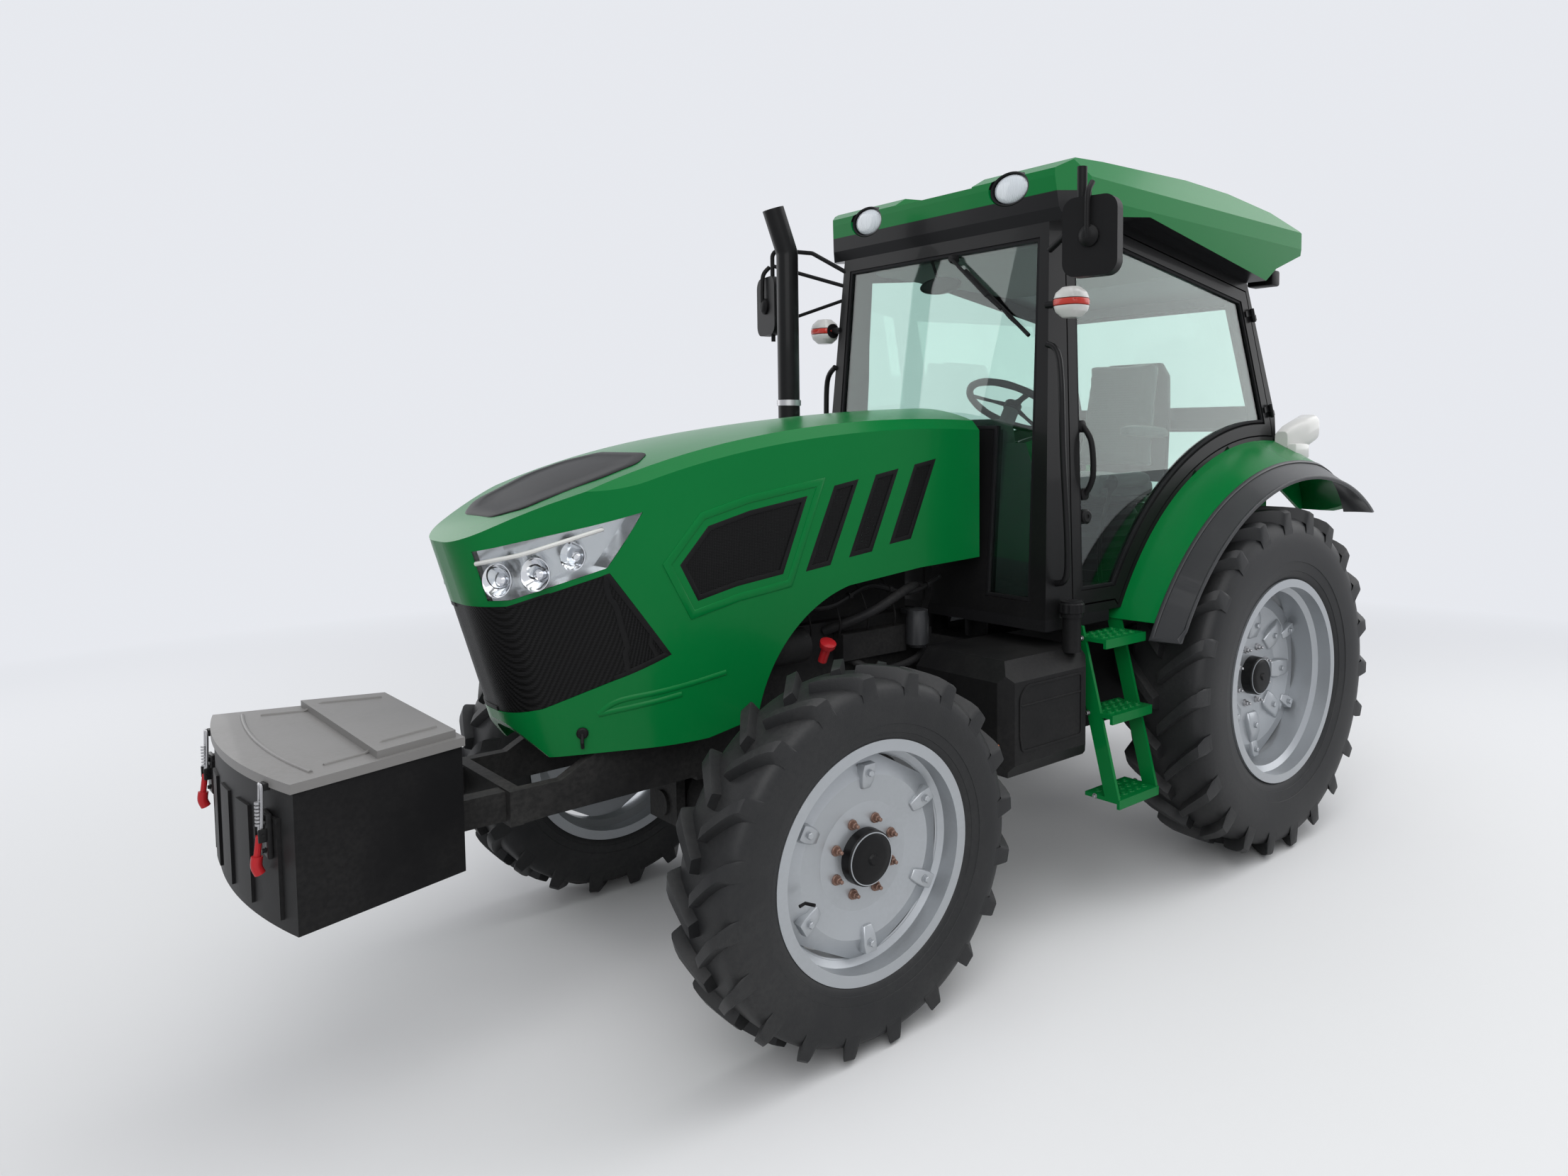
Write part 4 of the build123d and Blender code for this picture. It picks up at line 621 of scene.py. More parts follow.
def dress_wheel(axle, side_name, side):
    """Hub cover, bolts, clamps and valve of one wheel."""
    hub = middle(f"tyre_{axle}_{side_name}")
    face, hub_end, cover_r, circle, disc_r, bolt_finish = WHEEL_FACES[axle]
    body = f"wheel_{axle}_{side_name}"
    out = Vector((0, side, 0))

    def spoke(angle, r, y):
        return Vector((hub.x + math.sin(angle) * r, side * (hub.y * side + y), hub.z + math.cos(angle) * r))

    cover = Shapes()
    depth = hub_end - face
    cover.turned([(-0.004, cover_r + 0.004), (depth * 0.5, cover_r + 0.003), (depth - 0.006, cover_r + 0.002),
                  (depth + 0.003, cover_r - 0.008), (depth + 0.006, cover_r - 0.030), (depth + 0.006, 0.016),
                  (depth + 0.012, 0.012), (depth + 0.012, 0.0)], spoke(0, 0, face), out, 48)
    cover.done(f"hub_cover_{axle}_{side_name}", "black_paint", body, "cast_black")
    nuts = Shapes()
    for i in range(BOLTS):
        foot = spoke(math.radians(22.5 + 360 / BOLTS * i), circle, face)
        nuts.turned([(0, 0.0145), (0.004, 0.0145), (0.006, 0.012)], foot, out, 20)
        nuts.bolt(foot + out * 0.005, out, 0.0098)
        nuts.turned([(0.015, 0.0055), (0.027, 0.0055), (0.029, 0.004)], foot, out, 12)
    nuts.done(f"hub_bolts_{axle}_{side_name}", bolt_finish, body, "steel")
    clamps = Shapes()
    for i in range(CLAMPS):
        angle = math.radians(360 / CLAMPS * i)
        up, along = spoke_ways(angle)
        seat = spoke(angle, disc_r - 0.022, face + 0.012)
        rings = []
        for share, wide, thick in ((-0.050, 0.016, 0.004), (-0.028, 0.024, 0.012), (0.0, 0.027, 0.016),
                                   (0.022, 0.024, 0.020)):
            base = seat + up * share
            rings.append([base + along * wide - out * 0.008, base + along * wide * 0.8 + out * thick,
                          base - along * wide * 0.8 + out * thick, base - along * wide - out * 0.008])
        clamps.loft(rings, 0.003)
        clamps.bolt(seat + out * 0.015 - up * 0.004, out, 0.0095)
    clamps.done(f"rim_clamps_{axle}_{side_name}", "wheel_silver", body, "wheel_silver")
    root, (up, _) = spoke(VALVE_ANGLE, disc_r - 0.002, face + 0.055), spoke_ways(VALVE_ANGLE)
    valve = Shapes().bar([root, root - up * 0.018, root - up * 0.026 + out * 0.03], 0.0045)
    valve.done(f"valve_{axle}_{side_name}", "seal_rubber", body, "tyre_rubber")


for side_name, side in SIDES:
    for axle in ("front", "rear"):
        dress_wheel(axle, side_name, side)

# %% [markdown]
# ## Rear wheel centres
# The rear centre is a heavy pressing with raised pads round its bolts and a deep step at its edge.
# A ring of eight lofted ribs between the hub and the edge gives it that cast look.

# %% Raised pads on the rear centres
for side_name, side in SIDES:
    hub = middle("tyre_rear_" + side_name)
    out = Vector((0, side, 0))
    pads = Shapes()
    for i in range(BOLTS):
        up, along = spoke_ways(math.radians(360 / BOLTS * i))
        rings = []
        for r, wide, y, thick in ((0.152, 0.030, -0.008, 0.010), (0.185, 0.036, -0.007, 0.020),
                                  (0.235, 0.030, 0.0, 0.020), (0.275, 0.022, 0.006, 0.006)):
            base = hub + up * r + out * y
            rings.append([base + along * wide * 1.2 - out * 0.006, base + along * wide + out * thick,
                          base - along * wide + out * thick, base - along * wide * 1.2 - out * 0.006])
        pads.loft(rings, 0.006)
        pads.bolt(hub + up * 0.205 + out * 0.013, out, 0.011)
    pads.done("rear_centre_pads_" + side_name, "wheel_silver", "wheel_rear_" + side_name, "wheel_silver")

# %% [markdown]
# ## Lamps
# Roof lamps are oval: a black ring round a fluted lens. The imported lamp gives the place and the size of
# each, so the ring and the lens are lofted ovals around its middle. The turn signals under them are round,
# white above and below a red stripe, and stand on a short stalk.

# %% Roof lamps
def oval(centre, half_y, half_z, x, share):
    """Ring of points in a plane across the tractor."""
    return [Vector((x, centre.y + math.cos(t) * half_y * share, centre.z + math.sin(t) * half_z * share))
            for t in full_turn(48)]


def lamp_box(side, lowest, highest):
    """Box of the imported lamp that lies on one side, between two heights."""
    points = [v.co for v in frame["nodes"]["lamps"].data.vertices]
    return box_of([p for p in points if lowest < p.z < highest and p.y * side > 0])


for side_name, side in SIDES:
    low, high = lamp_box(side, 2.3, 3.0)
    centre, half_y, half_z = (low + high) / 2, (high.y - low.y) / 2, (high.z - low.z) / 2
    ring = Shapes()
    ring.loft([oval(centre, half_y, half_z, high.x + dx, share) for dx, share in
               ((-0.05, 0.99), (0.004, 0.99), (0.008, 0.96), (0.006, 0.88), (-0.004, 0.86), (-0.05, 0.86))])
    ring.done("roof_lamp_ring_" + side_name, "black_paint", "chassis", "black_plastic")
    lens = Shapes()
    lens.loft([oval(centre, half_y, half_z, high.x - 0.03 + dx, share) for dx, share in
               ((0, 0.855), (0.026, 0.85), (0.034, 0.78), (0.040, 0.60), (0.043, 0.35), (0.044, 0.08))])
    lens.done("roof_lamp_lens_" + side_name, "fluted_lens", "chassis", "lamp_lens")

# %% Turn signals
# name, finish, share of the height where the band starts and ends
SIGNAL_BANDS = (("signal_shell_top_", "signal_white", 0.62, 1.0),
                ("signal_stripe_", "signal_red", 0.40, 0.60),
                ("signal_shell_low_", "signal_white", 0.0, 0.38))
for side_name, side in SIDES:
    low, high = lamp_box(side, 2.0, 2.2)
    out = high.y if side > 0 else -low.y
    x, y, z = (low.x + high.x) / 2, side * (out - 0.061), (low.z + high.z) / 2
    for label, worn, start, end in SIGNAL_BANDS:
        rings = []
        for share in (start, (start + end) / 2, end):
            squeeze = 0.5 + 0.5 * math.sin(math.pi * share) ** 0.5
            rings.append([Vector((x + u * 0.049 * squeeze, y + v * 0.060 * squeeze,
                                  low.z + (high.z - low.z) * share)) for u, v in soft_square(28, 0.7)])
        Shapes().loft(rings, 0.002).done(label + side_name, worn, "chassis", "lamp_lens")
    inner = side * (out - 0.12)
    stalk = Shapes().bar([(x, inner - side * 0.05, z), (x, inner + side * 0.01, z)], 0.012)
    stalk.turned([(0, 0.030), (0.006, 0.030), (0.010, 0.022)], (x, inner, z), (0, side, 0), 24)
    stalk.done("signal_stalk_" + side_name, "black_plastic", "chassis", "black_plastic")

# %% [markdown]
# ## Rear lamps on the fenders
# The horn-shaped lamp sits at the foot of the cab's rear pillar: a pale moulded shell that widens to
# the rear and ends in a red lens. The shell is lofted through five rounded sections.

# %% Rear lamps
# share of the length, foot and top as shares of the height, share of the width
HORN = ((1.0, 0.22, 0.60, 0.55), (0.80, 0.16, 0.74, 0.75), (0.40, 0.24, 0.88, 0.95), (0.06, 0.38, 0.985, 1.0),
        (0.0, 0.40, 0.975, 0.98))
HORN_STEPS = 28
for side_name, side in SIDES:
    low, high = lamp_box(side, 0.0, 1.9)
    long = high.x - low.x
    inner, outer = (low.y, high.y) if side > 0 else (high.y, low.y)
    shell = Shapes()
    rings = []
    for share, base, top, wide in HORN:
        z0, z1 = low.z + (high.z - low.z) * base, low.z + (high.z - low.z) * top
        y0, y1 = inner, inner + (outer - inner) * wide
        rings.append([Vector((low.x + long * share, (y0 + y1) / 2 + u * (y1 - y0) / 2,
                              (z0 + z1) / 2 + v * (z1 - z0) / 2)) for u, v in soft_square(HORN_STEPS, 0.55)])
    shell.loft(rings)
    shell.block((low.x + long * 0.35, min(inner, outer) + 0.012, low.z + 0.004),
                (low.x + long * 0.97, max(inner, outer) - 0.012, low.z + (high.z - low.z) * 0.34), 0.006)
    shell.done("rear_lamp_shell_" + side_name, "signal_white", "chassis", "lamp_lens")
    mouth = rings[-1]
    heart = Vector((0, sum(p.y for p in mouth) / HORN_STEPS, sum(p.z for p in mouth) / HORN_STEPS))
    lens = Shapes().loft([[p + Vector((dx, 0, 0)) + (heart - Vector((0, p.y, p.z))) * 0.10 for p in mouth]
                          for dx in (0.004, 0.0)])
    lens.done("rear_lamp_lens_" + side_name, "signal_red", "chassis", "lamp_lens")
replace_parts(bpy.data.objects["roof_lamp_ring_left"], "lamps")

# %% [markdown]
# ## Headlights
# A headlight here is a clear cover over a silvery housing with three bright bowls and a light bar. The packed
# lamp is a closed solid whose outer skin is the shape of the cover. Its faces are sorted by the way they
# look: the outer skin becomes the cover, the rest becomes the housing.

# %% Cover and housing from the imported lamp
def sort_headlight():
    """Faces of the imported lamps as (corners, looks outward, side) rows."""
    solid = frame["nodes"]["headlights"].data
    low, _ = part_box("headlights")
    heart = Vector((low.x - 0.25, 0, low.z - 0.35))
    rows = []
    for face in solid.polygons:
        corners = [solid.vertices[i].co.copy() for i in face.vertices]
        normal, spot = face.normal, face.center
        rim_face = abs(normal.y) < 0.02 and abs(spot.y) > 0.11
        flat_front = normal.x > 0.93 and abs(normal.z) < 0.35
        side = 1 if spot.y > 0 else -1
        inner_cut = normal.y * side < -0.999
        outward = normal.dot((spot - Vector((heart.x, spot.y * 0.3, heart.z))).normalized()) > 0.25
        rows.append((corners, outward and not inner_cut and (not rim_face or flat_front), side))
    return rows


COVER_WALL = 0.003
finish("chrome_shade", (0.58, 0.59, 0.60), 0.20, metal=0.9, dust=0.02)
headlight_rows = sort_headlight()
for side_name, side in SIDES:
    for label, outward, worn in (("headlight_cover_", True, "lamp_lens"),
                                 ("headlight_housing_", False, "chrome_shade")):
        mesh = bpy.data.meshes.new(label + side_name)
        bm = bmesh.new()
        for corners, looks_out, own_side in headlight_rows:
            if own_side == side and looks_out == outward:
                bm.faces.new([bm.verts.new(c) for c in corners])
        bmesh.ops.remove_doubles(bm, verts=bm.verts, dist=1e-5)
        bm.to_mesh(mesh)
        bm.free()
        mesh.materials.append(FINISH[worn])
        made = show(label + side_name, mesh)
        if outward:
            wall = made.modifiers.new("wall", "SOLIDIFY")
            wall.thickness, wall.offset = COVER_WALL, -1
        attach(made, "hood")
        print(made.name, len(mesh.polygons), "faces")
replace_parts(bpy.data.objects["headlight_cover_left"], "headlights")

# %% [markdown]
# Inside each housing sit three turned bowls, the last one smaller, and a bent light bar that follows
# the cover's upper edge. Their places run along the line from the nose to the lamp's rear corner.

# %% Bowls and light bars
# x from the rear axle, y, z, bowl radius
BOWLS = ((WHEELBASE + 0.735, 0.178, 1.292, 0.040), (WHEELBASE + 0.658, 0.236, 1.306, 0.040),
         (WHEELBASE + 0.572, 0.272, 1.350, 0.034))
# x from the front axle, y, z
LIGHT_BAR = ((0.775, 0.140, 1.336), (0.750, 0.178, 1.345), (0.690, 0.235, 1.362), (0.600, 0.286, 1.393),
             (0.500, 0.300, 1.420))
for side_name, side in SIDES:
    bowls = Shapes()
    for x, y, z, r in BOWLS:
        centre = at(x, side * y, z)
        look = Vector((0.86, side * 0.5, 0.10)).normalized()
        bowls.turned([(-0.034, 0.006), (-0.030, 0.014), (-0.018, r * 0.72), (0.0, r), (0.003, r + 0.003),
                      (0.003, r + 0.005), (-0.020, r * 0.80), (-0.038, 0.010)], centre, look, 32)
        bowls.turned([(-0.030, 0.012), (-0.012, 0.014), (-0.006, 0.009), (-0.004, 0.001)], centre, look, 20)
    bowls.done("headlight_bowls_" + side_name, "chrome", "hood", "lamp_lens")
    line = [at(WHEELBASE + dx, side * y, z) for dx, y, z in LIGHT_BAR]
    bar = Shapes().bar(smooth_path(line), 0.006, 8)
    bar.done("headlight_bar_" + side_name, "signal_white", "hood", "lamp_lens")

# %% [markdown]
# ## Seat
# The driver's seat is a padded pan and backrest on a rubber-booted spring base. Each pad starts as a
# rounded block whose faces are pushed out in their middle and pulled in at the seams, then it is
# remeshed and blown up a little by the cloth solver so that it swells between its seams like foam.

# %% The raw pad
SEAT_LOW, SEAT_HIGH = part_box("seat")
SEAT_CENTRE = (SEAT_LOW + SEAT_HIGH) / 2
PAD_STEPS, PAD_LAYERS = 14, (0.0, 0.25, 0.5, 0.75, 1.0)
SEAM_PULL = 0.010


def pad_layer(corners, back, thick, crown, depth):
    """Rows of points of one layer of a pad, its middle pushed out and its edge pulled in at the seams."""
    a, b, c, d = corners
    centre = (a + b + c + d) / 4
    pull = SEAM_PULL * (1 - abs(depth - 0.5) * 2)
    rows = []
    for u in [i / PAD_STEPS for i in range(PAD_STEPS + 1)]:
        row = []
        for v in [k / PAD_STEPS for k in range(PAD_STEPS + 1)]:
            spot = a.lerp(b, u).lerp(d.lerp(c, u), v)
            bulge = crown * (math.sin(math.pi * u) * math.sin(math.pi * v)) ** 0.6
            spot = spot + (spot - centre).normalized() * pull * max(abs(u - 0.5), abs(v - 0.5)) * 2
            row.append(spot + back * thick * depth - back * bulge * (1 - depth * 1.6 if depth < 0.6 else 0))
        rows.append(row)
    return rows


def pad_mesh(name, corners, thick, crown):
    """Closed mesh of a pad over four corners of its front face."""
    a, b, _, d = corners
    back = (b - a).cross(d - a).normalized() * -1
    bm = bmesh.new()
    layers = [[[bm.verts.new(p) for p in row] for row in pad_layer(corners, back, thick, crown, depth)]
              for depth in PAD_LAYERS]
    for rows, way in ((layers[0], 1), (layers[-1], -1)):
        for near, far in zip(rows, rows[1:]):
            for k in range(PAD_STEPS):
                bm.faces.new((near[k], far[k], far[k + 1], near[k + 1])[::way])
    last = PAD_STEPS
    edge = ([(i, 0) for i in range(last)] + [(last, k) for k in range(last)]
            + [(i, last) for i in range(last, 0, -1)] + [(0, k) for k in range(last, 0, -1)])
    for near, far in zip(layers, layers[1:]):
        for (i, k), (j, m) in zip(edge, edge[1:] + edge[:1]):
            bm.faces.new((near[i][k], far[i][k], far[j][m], near[j][m]))
    bmesh.ops.recalc_face_normals(bm, faces=bm.faces)
    bmesh.ops.delete(bm, geom=[v for v in bm.verts if not v.link_faces], context="VERTS")
    mesh = bpy.data.meshes.new(name)
    bm.to_mesh(mesh)
    bm.free()
    return mesh


# %% A padded cushion
FOAM_PRESSURE, FOAM_FRAMES, VOXEL = 4.0, 12, 0.009


def settle(made):
    """Turns the object's modifiers into its mesh."""
    graph = bpy.context.evaluated_depsgraph_get()
    fresh = bpy.data.meshes.new_from_object(made.evaluated_get(graph))
    made.modifiers.clear()
    old, made.data = made.data, fresh
    bpy.data.meshes.remove(old)


def cushion(name, corners, thick, crown=0.022, swell=0.012):
    """Pad over four corners of its front face, its thickness going back along the face's normal."""
    made = show(name, pad_mesh(name, corners, thick, crown))
    remesh = made.modifiers.new("remesh", "REMESH")
    remesh.mode, remesh.voxel_size = "VOXEL", VOXEL
    settle(made)
    rest = [v.co.copy() for v in made.data.vertices]
    foam = made.modifiers.new("foam", "CLOTH")
    foam.settings.use_pressure, foam.settings.uniform_pressure_force = True, FOAM_PRESSURE
    foam.settings.effector_weights.gravity = 0.0
    for step in range(1, FOAM_FRAMES + 1):
        bpy.context.scene.frame_set(step)
    settle(made)
    for vertex, start in zip(made.data.vertices, rest):
        move = vertex.co - start
        if move.length > swell:
            vertex.co = start + move.normalized() * swell
    bpy.context.scene.frame_set(1)
    smooth = made.modifiers.new("smooth", "SMOOTH")
    smooth.factor, smooth.iterations = 0.5, 6
    settle(made)
    made.data.polygons.foreach_set("use_smooth", [True] * len(made.data.polygons))
    made.data.materials.clear()
    made.data.materials.append(FINISH["seat_cloth"])
    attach(made, "chassis")
    print(name, len(made.data.polygons), "faces")
    return made


# %% Seat pan, backrest, side bolsters and arm rests
def seat_point(x, y, z):
    """Point in metres from the back foot of the seat's middle."""
    return Vector((SEAT_LOW.x + x, SEAT_CENTRE.y + y, SEAT_LOW.z + z))


SEAT_TOP = SEAT_HIGH.z - SEAT_LOW.z
PAN_Z = 0.445
pan = cushion("seat_pan", [seat_point(*p) for p in (
    (0.13, -0.20, PAN_Z - 0.02), (0.52, -0.20, PAN_Z + 0.005),
    (0.52, 0.20, PAN_Z + 0.005), (0.13, 0.20, PAN_Z - 0.02))], 0.075)
cushion("seat_backrest", [seat_point(*p) for p in (
    (0.125, -0.19, 0.49), (0.125, 0.19, 0.49),
    (0.045, 0.17, SEAT_TOP - 0.03), (0.045, -0.17, SEAT_TOP - 0.03))], -0.070)
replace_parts(pan, "seat")
for side_name, side in SIDES:
    cushion("seat_bolster_" + side_name, [seat_point(x, side * y, z) for x, y, z in (
        (0.20, 0.185, PAN_Z + 0.028), (0.51, 0.185, PAN_Z + 0.02),
        (0.50, 0.232, PAN_Z + 0.005), (0.20, 0.232, PAN_Z + 0.01))], 0.055, 0.008, 0.006)
    cushion("arm_rest_" + side_name, [seat_point(x, side * y, z) for x, y, z in (
        (0.12, 0.215, 0.660), (0.40, 0.215, 0.668),
        (0.40, 0.265, 0.668), (0.12, 0.265, 0.660))], 0.040, 0.008, 0.006)

# %% Seat shell, spring base and rubber boot
shell = Shapes()
shell.block(seat_point(0.11, -0.21, 0.335), seat_point(0.50, 0.21, 0.368), 0.012)
BACK_PLAN = ((-0.028, -1), (-0.028, 1), (0.012, 1.04), (0.012, -1.04))
# height, shift forward, half width
BACK_RINGS = ((0.42, 0.055, 0.19), (0.70, 0.030, 0.20), (0.90, 0.012, 0.185), (SEAT_TOP - 0.01, 0.002, 0.14))
shell.loft([[seat_point(x + dx, y * half, z) for x, y in BACK_PLAN] for z, dx, half in BACK_RINGS], 0.008)
for y in (-0.24, 0.24):
    shell.bar([seat_point(0.10, y, 0.46), seat_point(0.09, y, 0.64), seat_point(0.13, y, 0.648)], 0.010)
shell.done("seat_shell", "black_plastic", "chassis", "black_plastic")
BOOT_FOLDS, BOOT_LOW, BOOT_TALL, FOLD_DEEP = 6, 0.05, 0.28, 0.012
rings = []
for k in range(2 * BOOT_FOLDS + 1):
    grow = 0.0 if k % 2 else FOLD_DEEP
    z = BOOT_LOW + BOOT_TALL * k / (2 * BOOT_FOLDS)
    rings.append([seat_point(0.31 + (0.165 + grow) * u, (0.150 + grow) * v, z)
                  for u, v in soft_square(40, 0.5)])
boot = Shapes().loft(rings)
boot.block(seat_point(0.13, -0.165, 0.002), seat_point(0.49, 0.165, BOOT_LOW), 0.01)
boot.done("seat_boot", "seal_rubber", "chassis", "black_plastic")

# %% [markdown]
# ## Outlines and skins of the solids
# Seals, frames and beads follow the edge of a pane or a panel, so they are read from the solid itself:
# the faces that look one way make a patch, and the edges round that patch make a closed outline. Small
# pieces on a curved panel are dropped onto its skin along a line.

# %% Outlines of patches
from mathutils.bvhtree import BVHTree


def patches_facing(node, direction, least=0.7):
    """Closed outlines, as rows of (point, normal), of the patches of a solid that look one way."""
    bm = bmesh.new()
    bm.from_mesh(frame["nodes"][node].data)
    bmesh.ops.remove_doubles(bm, verts=bm.verts, dist=1e-5)
    bm.faces.index_update()
    facing = {f.index for f in bm.faces if f.normal.dot(Vector(direction)) > least}
    rim = {e.index: e for e in bm.edges if sum(f.index in facing for f in e.link_faces) == 1}
    outlines = []
    while rim:
        start = rim.pop(next(iter(rim)))
        corners = list(start.verts)
        while corners[-1] is not corners[0]:
            ahead = next((e for e in corners[-1].link_edges if e.index in rim), None)
            if ahead is None:
                break
            del rim[ahead.index]
            corners.append(ahead.other_vert(corners[-1]))
        row = []
        for corner in corners[:-1]:
            normals = [f.normal for f in corner.link_faces if f.index in facing]
            row.append((corner.co.copy(), sum(normals, Vector()).normalized()))
        outlines.append(row)
    bm.free()
    return outlines


def span(outline):
    """Size of an outline's box."""
    low, high = box_of([p for p, _ in outline])
    return high - low


def mean(outline):
    """Mean of an outline's points."""
    return sum((p for p, _ in outline), Vector()) / len(outline)


def band(piece, outline, outward, inward, low, high, least=0.004, round_edge=0.001):
    """Band along a closed outline, between two distances beside it and two heights over it."""
    kept = [row for i, row in enumerate(outline) if (row[0] - outline[i - 1][0]).length > least]
    centre = mean(kept)
    turn = sum((kept[i - 1][0] - centre).cross(p - centre).dot(n) for i, (p, n) in enumerate(kept))
    spin = 1 if turn > 0 else -1
    rings = []
    for i, (point, normal) in enumerate(kept):
        behind = (point - kept[i - 1][0]).cross(normal).normalized() * spin
        before = (kept[(i + 1) % len(kept)][0] - point).cross(normal).normalized() * spin
        side = (behind + before).normalized()
        side /= max(side.dot(behind), 0.5)
        rings.append([point + side * s + normal * h
                      for s, h in ((outward, low), (outward, high), (-inward, high), (-inward, low))])
    piece.loft(rings, round_edge, closed=True)
    return piece


def skin(node):
    """Search tree over a solid's surface."""
    solid = frame["nodes"][node].data
    return BVHTree.FromPolygons([v.co for v in solid.vertices], [tuple(p.vertices) for p in solid.polygons])


def onto(tree, start, direction):
    """Point where a line first meets a surface, and the surface's normal there."""
    spot, normal, _, _ = tree.ray_cast(Vector(start), Vector(direction))
    return (spot, normal) if spot else (Vector(start), -Vector(direction))


def rounded(corners, radius, steps=5):
    """Closed outline with its corners rounded."""
    line = []
    for i, corner in enumerate(corners):
        before, after = corners[i - 1], corners[(i + 1) % len(corners)]
        a = corner + (before - corner).normalized() * radius
        b = corner + (after - corner).normalized() * radius
        for k in range(steps + 1):
            t = k / steps
            line.append(a * (1 - t) ** 2 + corner * 2 * t * (1 - t) + b * t ** 2)
    return line


# %% [markdown]
# ## Trim of the hood
# The nose carries a dark cover that follows the hood's crown. Each vent has a black frame inside its
# opening, and the big vent a pressed bead round it. Low on each side two short pressed lines part from one
# point, and a latch holds the chin.

# %% Nose cover
hood_skin = skin("hood")
# x from the front axle, half width
COVER = ((0.715, 0.10), (0.66, 0.185), (0.47, 0.245), (0.36, 0.235), (0.285, 0.15))
# share of the way from the middle to the edge, height over the hood
COVER_RINGS = ((1.0, -0.003), (1.0, 0.002), (0.985, 0.004), (0.86, 0.004), (0.84, 0.002), (0.6, 0.002),
               (0.3, 0.002), (0.03, 0.002))
ABOVE_HOOD = 2.2
half_outline = [Vector((WHEELBASE + dx, y)) for dx, y in COVER]
corners = half_outline + [Vector((p.x, -p.y)) for p in reversed(half_outline)]
outline = rounded(corners, 0.028)
centre = sum(outline, Vector((0, 0))) / len(outline)
rings = []
for share, rise in COVER_RINGS:
    ring = [centre.lerp(p, share) for p in outline]
    rings.append([onto(hood_skin, at(p.x, p.y, ABOVE_HOOD), (0, 0, -1))[0] + Vector((0, 0, rise))
                  for p in ring])
Shapes().loft(rings).done("hood_nose_cover", "black_plastic", "hood", "black_plastic", angle=50)

# %% Vent frames and beads
frames, beads = Shapes(), Shapes()
for _, side in SIDES:
    for outline in patches_facing("hood_grilles", (0, side, 0), 0.9):
        size = span(outline)
        if size.z > 0.10 and size.x < 0.50:
            band(frames, outline, 0.001, 0.014, -0.004, 0.0035)
            if size.x > 0.35:
                band(beads, outline, 0.046, -0.022, -0.002, 0.0060, round_edge=0.0038)
for outline in patches_facing("hood_grilles", (1, 0, 0), 0.25):
    size = span(outline)
    if size.y > 0.4 and size.z > 0.2:
        band(frames, outline, 0.000, 0.012, -0.004, 0.003, least=0.012)
frames.done("vent_frames", "black_plastic", "hood", "black_plastic")
beads.done("vent_beads", "green_paint", "hood", "green_paint")

# %% Pressed lines and the chin latch
# x and z of two lines that part from one point
PRESSED_LINES = (((2.565, 0.905), (2.52, 0.940), (2.41, 0.958), (2.22, 0.983)),
                 ((2.565, 0.905), (2.46, 0.925), (2.36, 0.942)))
press = Shapes()
for _, side in SIDES:
    for line in PRESSED_LINES:
        path = smooth_path([Vector((x, z, 0)) for x, z in line], 5)
        spots = [onto(hood_skin, at(p.x, side, p.y), (0, -side, 0)) for p in path]
        press.bar([spot - normal * 0.0085 for spot, normal in spots], 0.012, 16)
press.done("hood_pressed_lines", "green_paint", "hood", "green_paint")
latch = Shapes()
for _, side in SIDES:
    spot, normal = onto(hood_skin, at(2.60, side, 0.855), (0, -side, 0))
    latch.turned([(-0.004, 0.016), (0.006, 0.016), (0.009, 0.012)], spot, normal, 20)
    latch.bar([spot + normal * 0.006, spot + normal * 0.016 + Vector((0, 0, -0.022)),
               spot + normal * 0.004 + Vector((0, 0, -0.040))], 0.005)
latch.done("chin_latches", "black_plastic", "hood", "black_plastic")

# %% [markdown]
# ## Seals, wiper and handles of the cab
# Every pane sits in a rubber seal. The wiper hangs from the top of the windscreen, its blade across the
# driver's view. Each door has a handle on its front stile, and a grab rail stands in front of it.

# %% Rubber seals
seals = Shapes()
for direction in ((1, 0, 0), (-1, 0, 0)):
    for outline in patches_facing("cab_glass", direction, 0.9):
        if span(outline).y > 0.5:
            band(seals, outline, 0.0, 0.013, -0.002, 0.009)
seals.done("window_seals", "seal_rubber", "chassis", "black_plastic")
for side_name, side in SIDES:
    door_seal = Shapes()
    for outline in patches_facing("door_" + side_name + "_glass", (0, side, 0), 0.9):
        if span(outline).x > 0.5:
            band(door_seal, outline, 0.0, 0.012, -0.002, 0.010)
    door_seal.done("door_seal_" + side_name, "seal_rubber", "door_" + side_name, "black_plastic")

# %% Wiper
screen = skin("cab_glass")


def on_screen(y, z, off=0.0):
    """Point at a distance before the windscreen."""
    spot, normal = onto(screen, at(2.0, y, z), (-1, 0, 0))
    return spot + normal * off


def on_blade(share, off):
    """Point along the wiper's blade."""
    return on_screen(0.16 + 0.33 * share, 2.278 - 0.263 * share, off)


wiper = Shapes()
pivot, knee = (0.10, 2.325), (0.30, 2.165)
wiper.bar([on_screen(*pivot, 0.030), on_screen(*knee, 0.034)], 0.007, 8)
wiper.bar([on_screen(*knee, 0.034), on_screen(0.36, 2.115, 0.022)], 0.005, 8)
wiper.bar([on_blade(share, 0.010) for share in (0, 0.25, 0.5, 0.75, 1)], 0.0075, 6)
for start, end in ((0.1, 0.4), (0.6, 0.9)):
    bridge = [on_blade(start, 0.014), on_blade((start + end) / 2, 0.026), on_blade(end, 0.014)]
    wiper.bar(smooth_path(bridge, 4), 0.004, 6)
wiper.turned([(0.004, 0.018), (0.022, 0.018), (0.034, 0.012)], on_screen(*pivot), (1, 0, 0.05), 20)
wiper.done("windscreen_wiper", "black_plastic", "chassis", "black_plastic")

